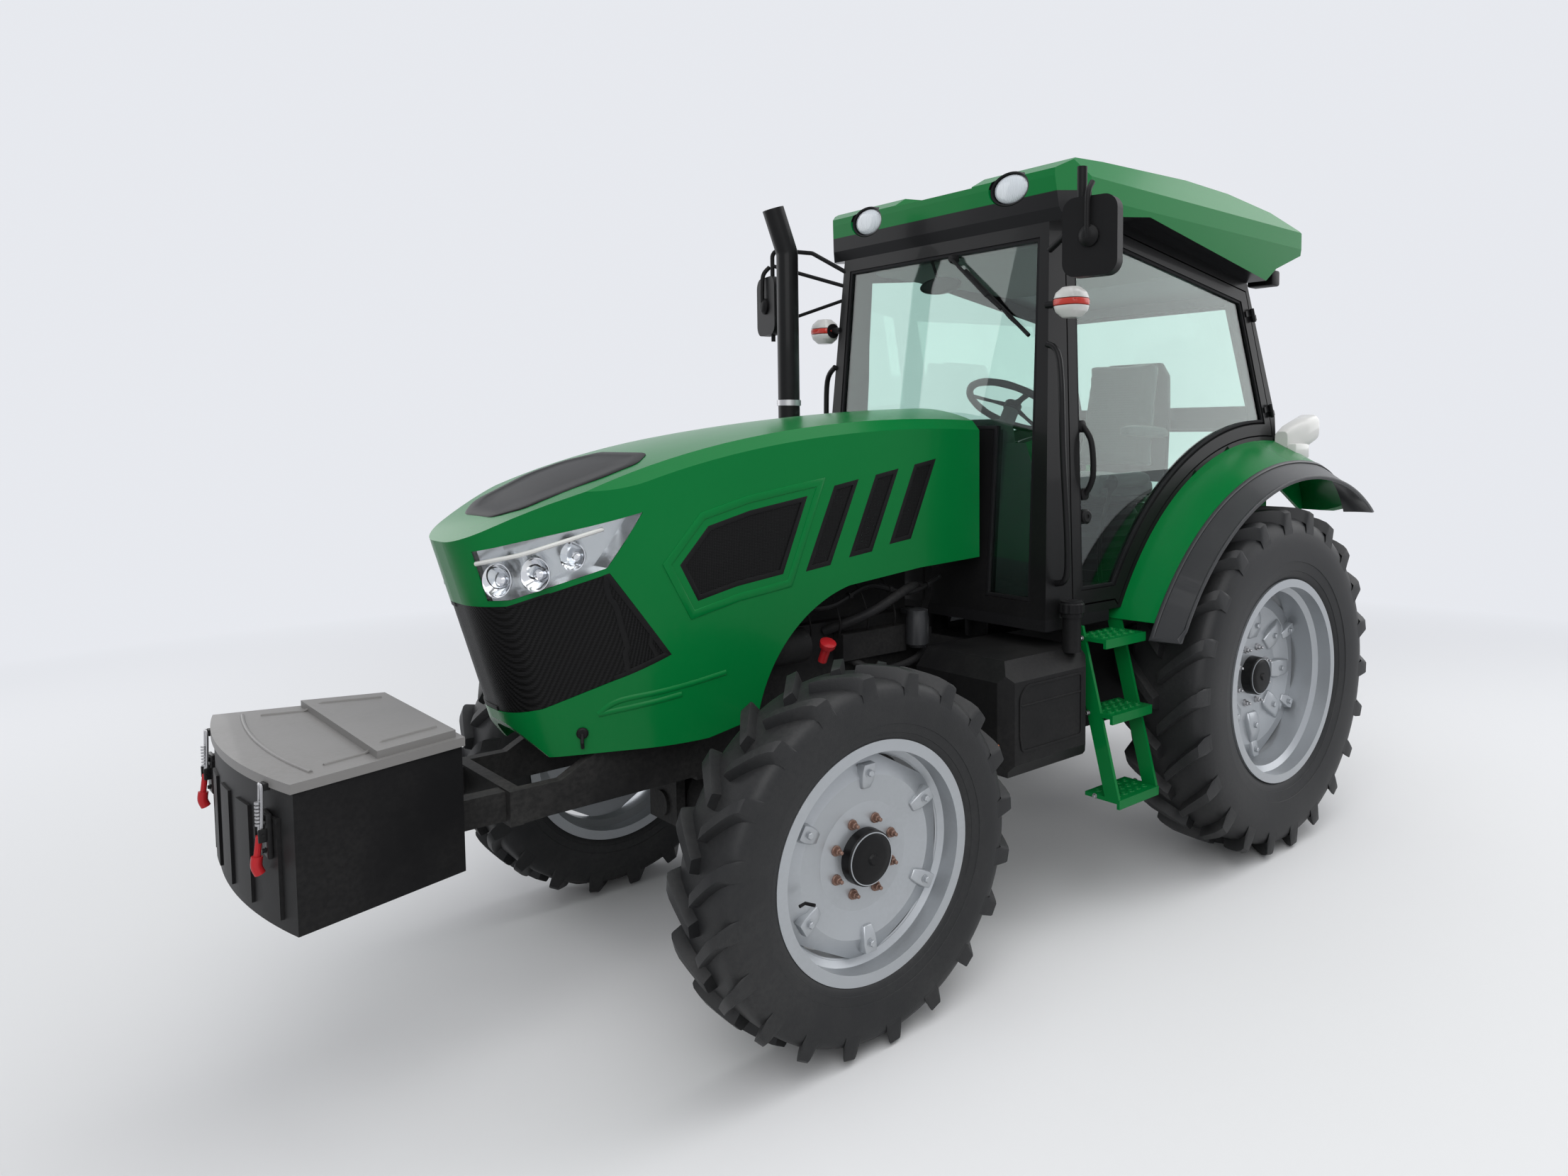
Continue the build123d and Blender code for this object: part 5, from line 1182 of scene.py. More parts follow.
# %% Door handles and grab rails
HANDLE_X, LOCK_Z, RAIL_X, OUTSIDE = 0.905, 1.38, 1.075, 1.2
for side_name, side in SIDES:
    pane = skin("door_" + side_name + "_glass")
    handle = Shapes()
    spots = [onto(pane, at(HANDLE_X, side * OUTSIDE, z), (0, -side, 0)) for z in (1.46, 1.52, 1.64, 1.70)]
    points = [spot + normal * off for (spot, normal), off in zip(spots, (0.010, 0.046, 0.046, 0.010))]
    handle.bar(smooth_path(points, 5), 0.011, 12)
    for spot, normal in (spots[0], spots[-1]):
        handle.turned([(0, 0.022), (0.010, 0.022), (0.014, 0.016)], spot, normal, 20)
    lock, normal = onto(pane, at(HANDLE_X, side * OUTSIDE, LOCK_Z), (0, -side, 0))
    handle.turned([(0, 0.026), (0.012, 0.026), (0.018, 0.019), (0.018, 0.008), (0.014, 0.007)],
                  lock, normal, 24)
    handle.done("door_handle_" + side_name, "black_plastic", "door_" + side_name, "black_plastic")
pillar = skin("cab_frame")
rails = Shapes()
for side, heights in ((1, (1.16, 1.22, 1.60, 1.92, 1.98)), (-1, (1.46, 1.52, 1.70, 1.90, 1.96))):
    line = []
    for i, z in enumerate(heights):
        spot, _ = onto(pillar, at(RAIL_X, side * OUTSIDE, z), (0, -side, 0))
        line.append(spot + Vector((0.012, side * (0.0 if i in (0, len(heights) - 1) else 0.052), 0)))
    rails.bar(smooth_path(line, 6), 0.011, 12)
rails.done("cab_grab_rails", "black_paint", "chassis", "black_paint")

# %% Mirror glass, mirror brackets and the inside mirror
def mirror_faces(direction):
    """Outlines of the mirrors' heads that look one way."""
    outlines = patches_facing("mirrors", (direction, 0, 0), 0.9)
    return [outline for outline in outlines if span(outline).z > 0.15 and span(outline).y > 0.1]


# share of the way from the middle to the edge, height over the face
GLASS_RINGS = ((0.90, -0.002), (0.90, 0.002), (0.87, 0.003), (0.4, 0.003), (0.05, 0.003))
glasses = Shapes()
for outline in mirror_faces(-1):
    centre, normal = mean(outline), outline[0][1]
    glasses.loft([[centre + (p - centre) * share + normal * rise for p, _ in outline]
                  for share, rise in GLASS_RINGS])
glasses.done("mirror_glass", "chrome", "chassis", "steel")
brackets = Shapes()
for outline in mirror_faces(1):
    centre, half = mean(outline), span(outline).z / 2
    normal, up = outline[0][1], Vector((0, 0, 1))
    arm = [centre + up * (half + 0.045) - normal * 0.02, centre + up * (half + 0.01) + normal * 0.008,
           centre + up * half * 0.6 + normal * 0.014, centre - up * 0.01 + normal * 0.014]
    brackets.bar(smooth_path(arm), 0.009, 12)
    brackets.turned([(-0.006, 0.034), (0.008, 0.034), (0.018, 0.024), (0.022, 0.012)], centre, normal, 24)
brackets.done("mirror_brackets", "black_plastic", "chassis", "black_plastic")
inside = Shapes()
hang = on_screen(-0.06, 2.30, -0.03)
inside.bar([hang + Vector((0, 0, 0.04)), hang + Vector((-0.03, 0, -0.02))], 0.006)
ring = [Vector((0, math.cos(t) * 0.11, math.sin(t) * 0.032)) for t in full_turn(32)]
inside.loft([[hang + Vector((dx, 0, -0.045)) + p * share for p in ring]
             for dx, share in ((-0.052, 0.9), (-0.050, 1.0), (-0.036, 1.0), (-0.028, 0.8))])
inside.done("inside_mirror", "black_plastic", "chassis", "black_plastic")

# %% [markdown]
# ## Front box
# The lid is pressed with a line across its front and two that run back. Two toggle latches hold it: a
# plate on the box, a wire loop over a hook on the lid, and a lever with a red grip.

# %% Lid lines
box_skin, lid_skin = skin("front_box"), skin("front_box_lid")
lid_low, lid_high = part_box("front_box_lid")
lines = Shapes()
NOSE_X, ABOVE_LID, BEFORE_BOX = lid_high.x - REAR_HUB.x, 1.3, 4.0
CROSS_BACK, CROSS_HALF, CROSS_BOW = 0.105, 0.34, 0.03


def on_lid(x, y):
    """Point on the lid's skin."""
    return onto(lid_skin, at(x, y, ABOVE_LID), (0, 0, -1))[0]


lines.bar([on_lid(NOSE_X - CROSS_BACK + CROSS_BOW * (1 - (y / CROSS_HALF) ** 2), y)
           for y in [CROSS_HALF * (k / 10 - 1) for k in range(21)]], 0.005)
for y in (-0.25, 0.25):
    lines.bar([on_lid(NOSE_X - 0.41 + 0.045 * k, y * (0.86 + 0.35 * k / 6)) for k in range(7)], 0.004, 8)
lines.done("lid_pressed_lines", "box_lid_grey", "box_lid", "black_plastic")

# %% Toggle latches
LATCH_Y, LATCH_Z, COILS, COIL_PITCH = 0.30, 0.80, 7, 0.008
for side_name, side in SIDES:
    foot, _ = onto(box_skin, at(BEFORE_BOX, side * LATCH_Y, LATCH_Z), (-1, 0, 0))
    hook, _ = onto(lid_skin, at(BEFORE_BOX, side * LATCH_Y, lid_low.z + 0.010), (-1, 0, 0))

    def by_foot(x, y, z):
        """Point counted from the latch's foot on the box."""
        return foot + Vector((x, y, z))

    plate = Shapes().block(by_foot(-0.004, -0.026, -0.05), by_foot(0.006, 0.026, 0.05), 0.002)
    for z in (-0.036, 0.036):
        plate.bolt(by_foot(0.006, 0, z), (1, 0, 0), 0.005)
    for y in (-0.018, 0.018):
        plate.block(by_foot(0.004, y - 0.003, -0.012), by_foot(0.022, y + 0.003, 0.018), 0.002)
    plate.bar([by_foot(0.014, -0.024, 0.004), by_foot(0.014, 0.024, 0.004)], 0.004)
    plate.done("latch_plate_" + side_name, "black_paint", "chassis", "black_paint")
    top = Vector((hook.x + 0.010, foot.y, hook.z))
    loop = [by_foot(0.014, -0.012, 0.004), Vector((top.x, foot.y - 0.012, top.z - 0.006)),
            Vector((top.x + 0.002, foot.y, top.z + 0.004)), Vector((top.x, foot.y + 0.012, top.z - 0.006)),
            by_foot(0.014, 0.012, 0.004)]
    wire = Shapes().bar(smooth_path(loop, 5), 0.0032, 8)
    for k in range(COILS):
        wire.turned([(0, 0.0072), (0.0045, 0.0072)], by_foot(0.016, 0, 0.022 + COIL_PITCH * k), (0, 0, 1), 14)
    wire.done("latch_loop_" + side_name, "steel", "chassis", "steel")
    grip = Shapes().bar([by_foot(0.016, 0, 0), by_foot(0.022, 0, -0.045)], 0.007)
    handle = [by_foot(0.022, 0, -0.045), by_foot(0.024, 0, -0.066), by_foot(0.018, 0, -0.084)]
    grip.bar(smooth_path(handle, 4), 0.0115, 12)
    grip.done("latch_grip_" + side_name, "red_plastic", "chassis", "black_plastic")
    keeper = Shapes().block((hook.x - 0.006, foot.y - 0.014, hook.z - 0.008),
                            (hook.x + 0.007, foot.y + 0.014, hook.z + 0.008), 0.002)
    keeper.done("lid_hook_" + side_name, "black_plastic", "box_lid", "black_plastic")

# %% [markdown]
# ## Engine bay
# Under the open sides of the hood lie the engine's pipes. Thin injection lines run along the head, thick
# ones go to the radiator, and a wiring conduit is clipped along the block. A red cap closes the oil filler.
# Their places are points forward from the rear axle, out from the middle and up from the ground.

# %% Pipes, injection lines and conduit
def side_path(points, side, steps=6):
    """Smooth path through points that are given for the left side."""
    return smooth_path([at(x, side * y, z) for x, y, z in points], steps)


# points along the pipe, radius
PIPES = ((((2.33, 0.16, 1.34), (2.18, 0.20, 1.32), (2.02, 0.20, 1.22), (1.93, 0.15, 1.16)), 0.026),
         (((2.33, 0.20, 0.93), (2.20, 0.24, 0.90), (2.06, 0.24, 0.98), (1.95, 0.17, 1.00)), 0.026),
         (((1.32, 0.17, 1.12), (1.44, 0.27, 1.15), (1.62, 0.27, 1.08), (1.74, 0.17, 1.02)), 0.016),
         (((1.30, 0.17, 0.98), (1.38, 0.25, 0.90), (1.58, 0.26, 0.88), (1.66, 0.17, 0.93)), 0.013))
CONDUIT = ((1.28, 0.25, 1.17), (1.45, 0.275, 1.13), (1.62, 0.265, 1.17), (1.80, 0.275, 1.12),
           (1.98, 0.24, 1.14))
CYLINDERS, FIRST_CYLINDER, CYLINDER_PITCH = 4, 1.46, 0.12
for side_name, side in SIDES:
    pipes = Shapes()
    for points, radius in PIPES:
        pipes.bar(side_path(points, side), radius, 12)
    pipes.done("engine_pipes_" + side_name, "hose_rubber", "chassis", "black_plastic")
    fuel_lines = Shapes()
    for x in [FIRST_CYLINDER + CYLINDER_PITCH * k for k in range(CYLINDERS)]:
        points = ((x, 0.20, 1.00), (x + 0.02, 0.235, 1.06), (x + 0.05, 0.22, 1.16), (x + 0.06, 0.12, 1.22))
        fuel_lines.bar(side_path(points, side, 5), 0.0035, 8)
        fuel_lines.bolt(at(x + 0.06, side * 0.115, 1.22), (0, 0, 1), 0.008)
    fuel_lines.done("injection_lines_" + side_name, "cast_black", "chassis", "steel")
    path = side_path(CONDUIT, side)
    conduit = Shapes().bar(path, 0.009, 8)
    for p in path[3::6]:
        conduit.bar([p + Vector((-0.007, 0, 0)), p + Vector((0.007, 0, 0))], 0.013)
    conduit.done("wiring_conduit_" + side_name, "black_plastic", "chassis", "black_plastic")

# %% Filter cans and oil filler cap
CAN_R = 0.040
for side_name, side in SIDES:
    foot = at(1.40, side * 0.262, 0.935)
    can = Shapes().turned([(0, CAN_R * 0.7), (0.012, CAN_R), (0.10, CAN_R), (0.112, CAN_R * 0.92),
                           (0.13, CAN_R * 0.92), (0.135, CAN_R * 0.5)], foot, (0, 0, 1), 28)
    can.block_at(foot, (-0.02, -0.070 if side > 0 else 0.0, 0.112), (0.02, 0.0 if side > 0 else 0.070, 0.130))
    can.done("engine_filters_" + side_name, "fender_black", "chassis", "cast_black")
filler = Shapes().turned([(-0.055, 0.015), (0.0, 0.015), (0.001, 0.024), (0.010, 0.027), (0.020, 0.027),
                          (0.024, 0.020)], at(1.805, 0.272, 0.990), (0.05, 0.5, 0.87), 24)
filler.done("oil_filler_cap", "red_plastic", "chassis", "black_plastic")

# %% Drive shaft to the front axle
shaft_from, shaft_to = at(0.60, 0.0, 0.455), at(WHEELBASE - 0.19, 0.0, 0.445)
axis = (shaft_to - shaft_from).normalized()
length = (shaft_to - shaft_from).length
near_end = [(0, 0.045), (0.03, 0.045), (0.035, 0.030), (0.10, 0.030), (0.105, 0.024)]
far_end = [(length - 0.105, 0.024), (length - 0.10, 0.032), (length - 0.035, 0.032), (length - 0.03, 0.045),
           (length, 0.045)]
shaft = Shapes().turned(near_end + far_end, shaft_from, axis, 28)
for d in (0.065, length - 0.065):
    cross = shaft_from + axis * d
    shaft.bar([cross + Vector((0, -0.045, 0)), cross + Vector((0, 0.045, 0))], 0.013)
shaft.done("front_drive_shaft", "cast_black", "chassis", "cast_black")

# %% [markdown]
# ## Tank, steps and exhaust
# The filler neck has a ribbed cap. The treads of the steps are pressed with round rims that grip a boot,
# and they are bolted to the rails. Clamps hold the exhaust, and dark bars on its shield are painted shade in
# its slots.

# %% Filler cap and tank panel
tank_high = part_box("fuel_tank")[1]
# height, radius; the two wide rings are ribbed for the hand
CAP_RINGS = ((0.0, 0.0405), (0.002, 0.0425), (0.030, 0.0415), (0.036, 0.037), (0.0405, 0.020),
             (0.0405, 0.001))
CAP_STEPS, STEPS_PER_RIB, RIB_SHARE, RIBBED_FROM = 72, 6, 0.05, 0.04
foot = at(1.070, 0.682, tank_high.z - 0.040)
rings = []
for dz, r in CAP_RINGS:
    ring = []
    for k, t in enumerate(full_turn(CAP_STEPS)):
        rib = RIB_SHARE if k % STEPS_PER_RIB < STEPS_PER_RIB / 2 and r > RIBBED_FROM else 0
        ring.append(foot + Vector((math.cos(t), math.sin(t), 0)) * (r * (1 + rib)) + Vector((0, 0, dz)))
    rings.append(ring)
Shapes().loft(rings).done("fuel_cap", "black_plastic", "chassis", "black_plastic", angle=25)
PANEL = ((1.065, 0.650), (1.365, 0.650), (1.375, 0.70), (1.375, 0.83), (1.345, 0.862), (1.065, 0.862))
corners = [at(x, tank_high.y, z) for x, z in PANEL]
outline = [(p, Vector((0, 1, 0))) for p in rounded(corners, 0.016)]
panel = band(Shapes(), outline, 0.004, 0.004, -0.004, 0.0035, least=0.0005, round_edge=0.0012)
panel.bar([at(1.07, tank_high.y, 0.80), at(1.37, tank_high.y, 0.80)], 0.0035, 8)
panel.done("tank_panel", "black_plastic", "chassis", "black_plastic")
reflector = Shapes().block_at(at(1.432, 0.655, 0.660), (-0.004, -0.03, -0.022), (0.012, 0.03, 0.022), 0.004)
reflector.done("side_reflector", "orange_reflector", "chassis", "lamp_lens")

# %% Treads and rails of the steps
TREADS = ((0.600, 0.964), (0.630, 0.704), (0.662, 0.414))  # y of the inner edge, z of the top
RIM = ((0, 0.0145), (0.004, 0.0125), (0.004, 0.0095), (0.0005, 0.0085))
RIMS_ALONG, RIMS_ACROSS, PITCH_ALONG, PITCH_ACROSS = 5, 3, 0.039, 0.042
for side_name, side in SIDES:
    rims, bolts = Shapes(), Shapes()
    for y, z in TREADS:
        for i in range(RIMS_ALONG):
            for j in range(RIMS_ACROSS):
                foot = at(0.773 + PITCH_ALONG * i, side * (y + 0.028 + PITCH_ACROSS * j), z - 0.001)
                rims.turned(RIM, foot, (0, 0, 1), 16)
        for x, way in ((0.733, -1), (0.969, 1)):
            bolts.bolt(at(x, side * (y + 0.045), z - 0.006), (way, 0, 0), 0.007)
    rims.done("step_grips_" + side_name, "green_paint", "chassis", "green_paint")
    bolts.done("step_bolts_" + side_name, "steel", "chassis", "steel")

# %% Exhaust clamps and slotted shield
low, high = box_of([v.co for v in frame["nodes"]["exhaust"].data.vertices if 1.25 < v.co.z < 1.75])
shield_x, shield_y, SHIELD_R = (high.x + low.x) / 2, (high.y + low.y) / 2, (high.x - low.x) / 2
SLOT_ROWS, SLOTS_ROUND, SLOT_HALF = 7, 12, 0.013
clamps = Shapes()
for z, r in ((1.315, SHIELD_R), (1.705, SHIELD_R), (1.80, SHIELD_R * 0.78)):
    clamps.turned([(-0.011, r + 0.0005), (-0.011, r + 0.0035), (0.011, r + 0.0035), (0.011, r + 0.0005)],
                  (shield_x, shield_y, z), (0, 0, 1), 40)
    clamps.bolt(Vector((shield_x - r - 0.004, shield_y - 0.012, z)), (0, 1, 0), 0.006)
clamps.done("exhaust_clamps", "steel", "chassis", "steel")
# dark bars on the shield are painted shade where its slots open; no slot is cut
slot_shades = Shapes()
for row in range(SLOT_ROWS):
    for k in range(SLOTS_ROUND):
        t = 2 * math.pi * (k + 0.5 * (row % 2)) / SLOTS_ROUND
        out, up = Vector((math.cos(t), math.sin(t), 0)), Vector((0, 0, SLOT_HALF))
        mid = Vector((shield_x, shield_y, 1.37 + 0.045 * row)) + out * (SHIELD_R - 0.0008)
        slot_shades.bar([mid - up, mid, mid + up], 0.0042, 6)
slot_shades.done("exhaust_slot_shade", "seal_rubber", "chassis", "black_plastic")

# %% [markdown]
# ## Driver's place
# The dashboard carries a hooded cluster with round dials, and levers stand beside the column and on the
# right console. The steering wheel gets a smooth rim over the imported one's eight flats.

# %% Dashboard cluster
DASH_HOOD = ((0.790, 1.632), (0.800, 1.700), (0.860, 1.735), (0.950, 1.715), (0.985, 1.638))
cluster = Shapes().slab(rounded([at(x, 0, z) for x, z in DASH_HOOD], 0.014), (-0.17, 0.17), 0.006)
cluster.done("dash_hood", "cab_trim", "chassis", "black_plastic")
look = Vector((-0.93, 0, 0.36)).normalized()
dials, bezels = Shapes(), Shapes()
for y, r in ((-0.095, 0.040), (0.0, 0.048), (0.095, 0.040)):
    spot = at(0.802, y, 1.672) + look * 0.002
    dials.turned([(0, r), (0.003, r), (0.0035, 0.001)], spot, look, 32)
    bezels.turned([(0, r + 0.001), (0.008, r + 0.001), (0.008, r + 0.006), (0, r + 0.008)], spot, look, 32)
    for k in range(9):
        t = math.radians(-120 + 30 * k)
        ray = Vector((0, math.sin(t), 0)) + Vector((0.36, 0, 0.93)) * math.cos(t)
        bezels.bar([spot + ray * r * 0.80 + look * 0.004, spot + ray * r * 0.94 + look * 0.004], 0.0012, 6)
dials.done("dash_dials", "seal_rubber", "chassis", "black_plastic")
bezels.done("dash_bezels", "signal_white", "chassis", "lamp_lens")

# %% Levers, pedals and console
# the two stalks on the column: y of the foot, x and z of the knob
STALK_X, STALK_Z, KNOB_R = 0.72, 1.50, 0.014
levers = Shapes()
for y, x, z in ((-0.12, 0.64, 1.62), (0.12, 0.66, 1.60)):
    knob = at(x, y * 1.7, z)
    line = [at(STALK_X, y, STALK_Z), at((STALK_X + x) / 2, y * 1.4, STALK_Z + 0.03), knob]
    levers.bar(smooth_path(line, 5), 0.006, 8)
    levers.turned([(-0.02, 0.004), (-0.014, KNOB_R), (0.012, KNOB_R), (0.02, 0.005)], knob,
                  (-0.5, 0, 0.86), 16)
for k, x in enumerate((0.10, 0.19, 0.28, 0.37)):
    top = at(x + 0.05, -0.40, 1.60 + 0.03 * (k % 2))
    levers.bar([at(x, -0.40, 1.42), top], 0.007, 8)
    levers.turned([(-0.01, 0.006), (0.0, 0.018), (0.03, 0.021), (0.045, 0.010)], top, (0.3, 0, 0.95), 16)
gear = [at(0.42, 0.30, 1.05), at(0.44, 0.31, 1.25), at(0.38, 0.32, 1.46)]
levers.bar(smooth_path(gear, 5), 0.009)
levers.turned([(-0.02, 0.008), (0.0, 0.024), (0.025, 0.026), (0.045, 0.014)], gear[-1], (-0.2, 0, 0.97), 20)
levers.done("cab_levers", "black_plastic", "chassis", "black_plastic")
CONSOLE = ((-0.10, 1.06), (-0.14, 1.40), (0.36, 1.43), (0.50, 1.36), (0.50, 1.06))
console = Shapes().slab(rounded([at(x, 0, z) for x, z in CONSOLE], 0.03), (-0.50, -0.335), 0.010)
console.done("side_console", "cab_trim", "chassis", "black_plastic")
pedals = Shapes()
for y in (0.20, -0.13, -0.20):
    pad = at(0.585, y, 1.165)
    pedals.block_at(pad, (-0.010, -0.032, -0.045), (0.006, 0.032, 0.045), 0.004)
    stem = [pad + Vector((0.004, 0, 0)), at(0.66, y, 1.25), at(0.735, y, 1.36)]
    pedals.bar(smooth_path(stem, 5), 0.009, 8)
    for dz in (-0.03, -0.01, 0.01, 0.03):
        pedals.bar([pad + Vector((-0.011, -0.026, dz)), pad + Vector((-0.011, 0.026, dz))], 0.003, 6)
pedals.done("pedals", "black_paint", "chassis", "black_paint")

# %% Steering wheel with a smooth rim
STEER_AXIS, STEER_SIDE = Vector((-0.5, 0, 0.866)), Vector((0, 1, 0))
STEER_UP = STEER_AXIS.cross(STEER_SIDE)
GRIP_R, GRIP_SWELL = 0.0150, 0.0006
heart = middle("steering_wheel")
reaches = [v.co - heart for v in frame["nodes"]["steering_wheel"].data.vertices]
rim_r = max((reach - STEER_AXIS * reach.dot(STEER_AXIS)).length for reach in reaches) - GRIP_R
hub = Vector((heart.x, 0, heart.z))


def round_column(t):
    """The way out from the column at an angle."""
    return STEER_SIDE * math.cos(t) + STEER_UP * math.sin(t)


rings = []
for t in full_turn(72):
    out = round_column(t)
    swell = GRIP_R + GRIP_SWELL * math.cos(12 * t)
    rings.append([hub + out * rim_r + (out * math.cos(u) + STEER_AXIS * math.sin(u)) * swell
                  for u in full_turn(14)])
wheel = Shapes().loft(rings, closed=True)
for degrees in (90, 210, 330):
    out = round_column(math.radians(degrees))
    flat = STEER_AXIS.cross(out)
    wheel.loft([[hub + out * d + flat * wide * math.cos(u) + STEER_AXIS * thick * math.sin(u)
                 for u in full_turn(16)]
                for d, wide, thick in ((0.020, 0.020, 0.007), (0.09, 0.012, 0.005), (rim_r, 0.014, 0.006))])
wheel.turned([(-0.018, 0.032), (-0.016, 0.036), (0.010, 0.036), (0.017, 0.030), (0.018, 0.001)],
             hub, STEER_AXIS, 40)
made = wheel.done("steering_wheel_rim", "black_plastic", "steering_wheel", "black_plastic", angle=45)
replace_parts(made, "steering_wheel")

# %% [markdown]
# ## Roof and back
# Two work lamps look rearward from under the roof's edge, and a pale liner closes the cab's ceiling.
# Behind, four oil couplings sit over the lift, with steel pipes beside it.

# %% Work lamps and liner
roof_skin = skin("roof")
for side_name, side in SIDES:
    heart = at(-0.405, side * 0.545, 2.352)
    under_roof = onto(roof_skin, heart, (0, 0, 1))[0] + Vector((0, 0, 0.004))
    lamp = Shapes().block_at(heart, (-0.040, -0.062, -0.034), (0.030, 0.062, 0.034), 0.010)
    lamp.bar([heart + Vector((0.01, 0, 0.03)), under_roof], 0.010, 8)
    lamp.done("work_lamp_" + side_name, "black_plastic", "chassis", "black_plastic")
    lens = Shapes().block_at(heart, (-0.046, -0.054, -0.027), (-0.034, 0.054, 0.027), 0.006)
    lens.done("work_lamp_lens_" + side_name, "fluted_lens", "chassis", "lamp_lens")
LINER = ((0.985, 0.46), (0.60, 0.49), (-0.18, 0.47), (-0.18, -0.47), (0.60, -0.49), (0.985, -0.46))
LINER_Z, LINER_WALL = 2.335, 0.012
plan = rounded([Vector((x, y, 0)) for x, y in LINER], 0.06)
liner = Shapes().loft([[at(p.x, p.y, 0) + Vector((0, 0, LINER_Z - 0.06 * max(0.0, 0.3 - p.x) + dz))
                        for p in plan] for dz in (0.0, LINER_WALL)], 0.003)
liner.done("cab_liner", "roof_liner", "chassis", "black_plastic")

# %% Oil couplings and lift pipes
COUPLING = ((-0.02, 0.020), (0.012, 0.020), (0.014, 0.026), (0.040, 0.026), (0.044, 0.021), (0.062, 0.021),
            (0.064, 0.015))
COUPLING_CAP = ((0.062, 0.0225), (0.066, 0.024), (0.080, 0.024), (0.086, 0.016))
couplings, tips = Shapes(), Shapes()
for k in range(4):
    foot = at(-0.405, -0.105 + 0.07 * k, 0.905)
    couplings.turned(COUPLING, foot, (-1, 0, 0.1), 24)
    tips.turned(COUPLING_CAP, foot, (-1, 0, 0.1), 24)
couplings.done("oil_couplings", "zinc_yellow", "chassis", "steel")
tips.done("coupling_caps", "red_plastic", "chassis", "black_plastic")
lift_pipes = Shapes()
for _, side in SIDES:
    for (x0, z0), (x1, z1) in (((-0.26, 0.86), (-0.30, 0.62)), ((-0.26, 0.80), (-0.28, 0.56))):
        points = ((x0, 0.16, z0), (x0 - 0.05, 0.20, (z0 + z1) / 2), (x1, 0.16, z1))
        lift_pipes.bar(side_path(points, side), 0.009)
lift_pipes.done("lift_pipes", "steel", "chassis", "steel")
shaft_seal = Shapes().turned([(0.0, 0.030), (0.012, 0.030), (0.014, 0.024), (0.020, 0.024)],
                             at(-0.258, 0, 0.620), (-1, 0, 0))
shaft_seal.done("shaft_seal", "steel", "chassis", "steel")

# %% Rolled edge of the fender lips
for side_name, side in SIDES:
    roll = Shapes()
    for outline in patches_facing("fender_flares", (0, side, 0.35), 0.25):
        if span(outline).x > 1.0 and mean(outline).y * side > 0:
            band(roll, outline, 0.0, 0.016, -0.002, 0.005, least=0.02, round_edge=0.002)
    roll.done("flare_edge_" + side_name, "fender_black", "chassis", "black_plastic", angle=50)

# %% [markdown]
# ## Clear way behind the door glass
# The cab's sides lean in above the fenders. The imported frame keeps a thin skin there, behind the upper
# half of each door, where a real cab is open. A copy of the frame with that skin cut out takes its place,
# so that one looks in through the door glass and out on the other side.

# %% Cab frame open behind the doors
# x and z of the clear way's corners, then the planes between which it is cut
WAY = ((0.992, 1.62), (0.965, 2.372), (0.640, 2.410), (-0.225, 2.276), (-0.400, 1.720), (-0.411, 1.62))
WAY_INSIDE, WAY_OUTSIDE = 0.490, 0.5475
ways = Shapes()
for _, side in SIDES:
    ways.loft([[at(x, side * y, z) for x, z in WAY] for y in (WAY_INSIDE, WAY_OUTSIDE)])
cutter = show("door_ways", bpy.data.meshes.new("door_ways"))
ways.bm.to_mesh(cutter.data)
ways.bm.free()
open_frame = show("cab_frame_open", frame["nodes"]["cab_frame"].data.copy())
cut = open_frame.modifiers.new("door_ways", "BOOLEAN")
cut.operation, cut.solver, cut.object = "DIFFERENCE", "EXACT", cutter
bpy.context.view_layer.update()
opened = bpy.data.meshes.new_from_object(open_frame.evaluated_get(bpy.context.evaluated_depsgraph_get()))
open_frame.modifiers.clear()
open_frame.data = opened
bpy.data.objects.remove(cutter)
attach(open_frame, "chassis")
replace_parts(open_frame, "cab_frame")
print("cab_frame_open", len(opened.polygons), "faces")

# %% [markdown]
# ## Floor, light and camera
# A wide pale floor and a pale sky stand in for a studio. Four large soft lamps light the tractor: one
# high in front, one from the right, one over the roof and one from behind. The sky that is seen directly,
# in gloss or through glass is brighter than the light it sheds, so the floor stays pale and keeps a shadow.

# %% How bright the sky is
SKY_LIGHT, SKY_SEEN, SKY_COLOUR = 0.42, 0.86, (0.93, 0.95, 1.0, 1)


def sky_strength(tree):
    """Strength of the sky: brighter for what is seen directly, in gloss or through glass."""
    rays = put(tree, "ShaderNodeLightPath").outputs
    seen = math_node(tree, "MAXIMUM", rays["Is Camera Ray"], rays["Is Transmission Ray"])
    return ramp(tree, math_node(tree, "MAXIMUM", seen, rays["Is Glossy Ray"]), 0.0, 1.0, SKY_LIGHT, SKY_SEEN)


# %% Floor that fades into the sky
FLOOR_REACH, FADE_FROM, FADE_TO, FLOOR_DROP = 60, 2.6, 8.0, 0.0005
floor_material, tree, shader = new_material("studio_floor")
shader.inputs["Base Color"].default_value = (0.74, 0.745, 0.75, 1)
shader.inputs["Roughness"].default_value = 0.75
away = put(tree, "ShaderNodeVectorMath", {"operation": "LENGTH"}, i0=place_on_object(tree)).outputs["Value"]
glow = put(tree, "ShaderNodeEmission", Color=SKY_COLOUR, Strength=sky_strength(tree))
fading = put(tree, "ShaderNodeMixShader", Fac=ramp(tree, away, FADE_FROM, FADE_TO))
tree.links.new(shader.outputs[0], fading.inputs[1])
tree.links.new(glow.outputs[0], fading.inputs[2])
tree.links.new(fading.outputs[0], tree.nodes["Material Output"].inputs["Surface"])
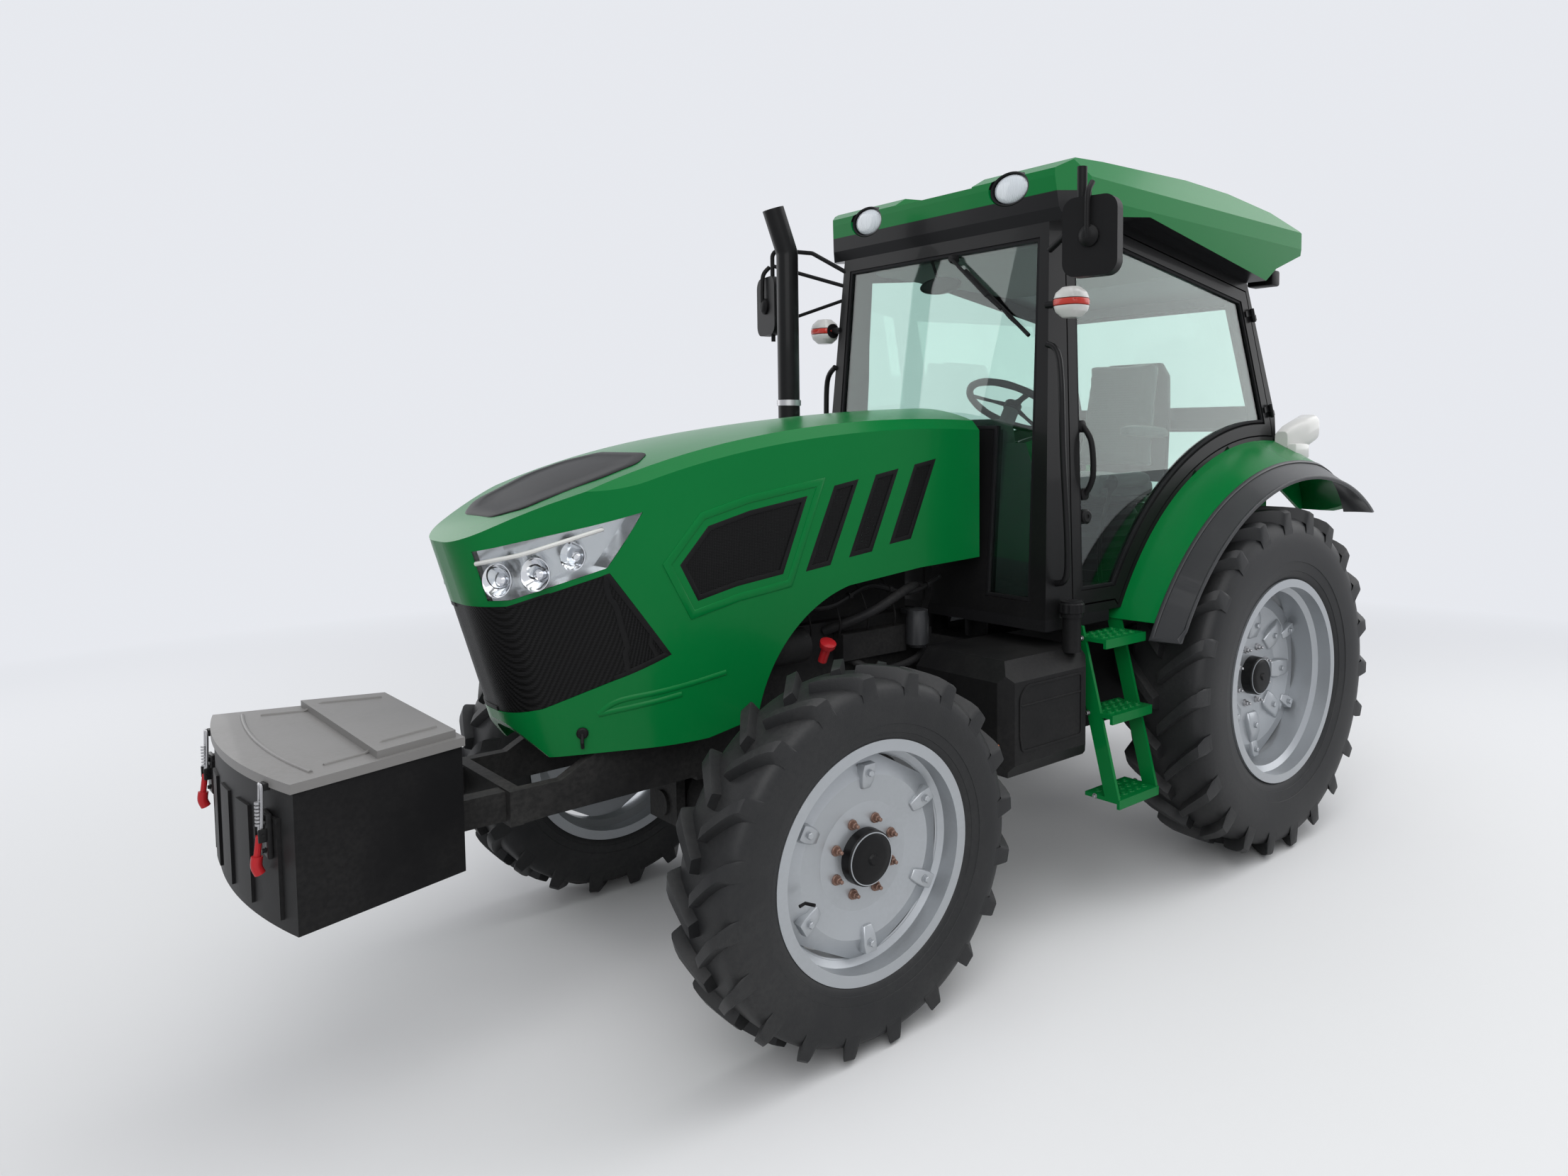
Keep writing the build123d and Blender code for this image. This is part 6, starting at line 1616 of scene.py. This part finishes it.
corners = [(x * FLOOR_REACH, y * FLOOR_REACH, 0) for x, y in ((-1, -1), (1, -1), (1, 1), (-1, 1))]
floor_mesh = bpy.data.meshes.new("studio_floor")
floor_mesh.from_pydata(corners, [], [(0, 1, 2, 3)])
floor_mesh.materials.append(floor_material)
floor = show("studio_floor", floor_mesh)
floor.location.z = CAD_BOX[0].z - FLOOR_DROP
print("floor at", round(floor.location.z, 4))

# %% Sky
world = bpy.data.worlds.new("studio_sky")
bpy.context.scene.world = world
world.use_nodes = True
tree = world.node_tree
tree.links.new(sky_strength(tree), tree.nodes["Background"].inputs["Strength"])
tree.nodes["Background"].inputs["Color"].default_value = SKY_COLOUR
print("sky", world.name)

# %% Soft lamps
AIM = Vector((0, 0, 1.1))
for name, place, size, power in (
    ("front_key", (4.5, 5.0, 5.5), 6.5, 340),
    ("right_fill", (3.0, -6.0, 3.5), 5.0, 115),
    ("over_roof", (-0.5, 1.0, 6.5), 6.0, 165),
    ("rear_rim", (-5.5, 2.5, 4.0), 5.0, 140),
):
    light = bpy.data.lights.new(name, "AREA")
    light.size, light.energy = size, power
    lamp = show(name, light)
    lamp.location = place
    lamp.rotation_euler = (AIM - lamp.location).to_track_quat("-Z", "Y").to_euler()
    print("lamp", name, power, "W")

# %% Camera
CAMERA_YAW, CAMERA_PITCH, CAMERA_ROLL = 3.942, -0.066, 0.003
view = bpy.data.cameras.new("front_left_view")
view.lens, view.sensor_width = 24.42, 36
view.shift_x, view.shift_y = -0.1047, -0.0504
camera = show("front_left_view", view)
camera.location = at(3.879, 2.972, 1.658)
level = math.cos(CAMERA_PITCH)
ahead = Vector((math.cos(CAMERA_YAW) * level, math.sin(CAMERA_YAW) * level, math.sin(CAMERA_PITCH)))
camera.rotation_mode = "QUATERNION"
camera.rotation_quaternion = (Matrix.Rotation(CAMERA_ROLL, 3, ahead)
                              @ ahead.to_track_quat("-Z", "Y").to_matrix()).to_quaternion()
bpy.context.scene.camera = camera
bpy.context.scene.view_settings.view_transform = "Standard"
print("camera at", [round(v, 3) for v in camera.location])
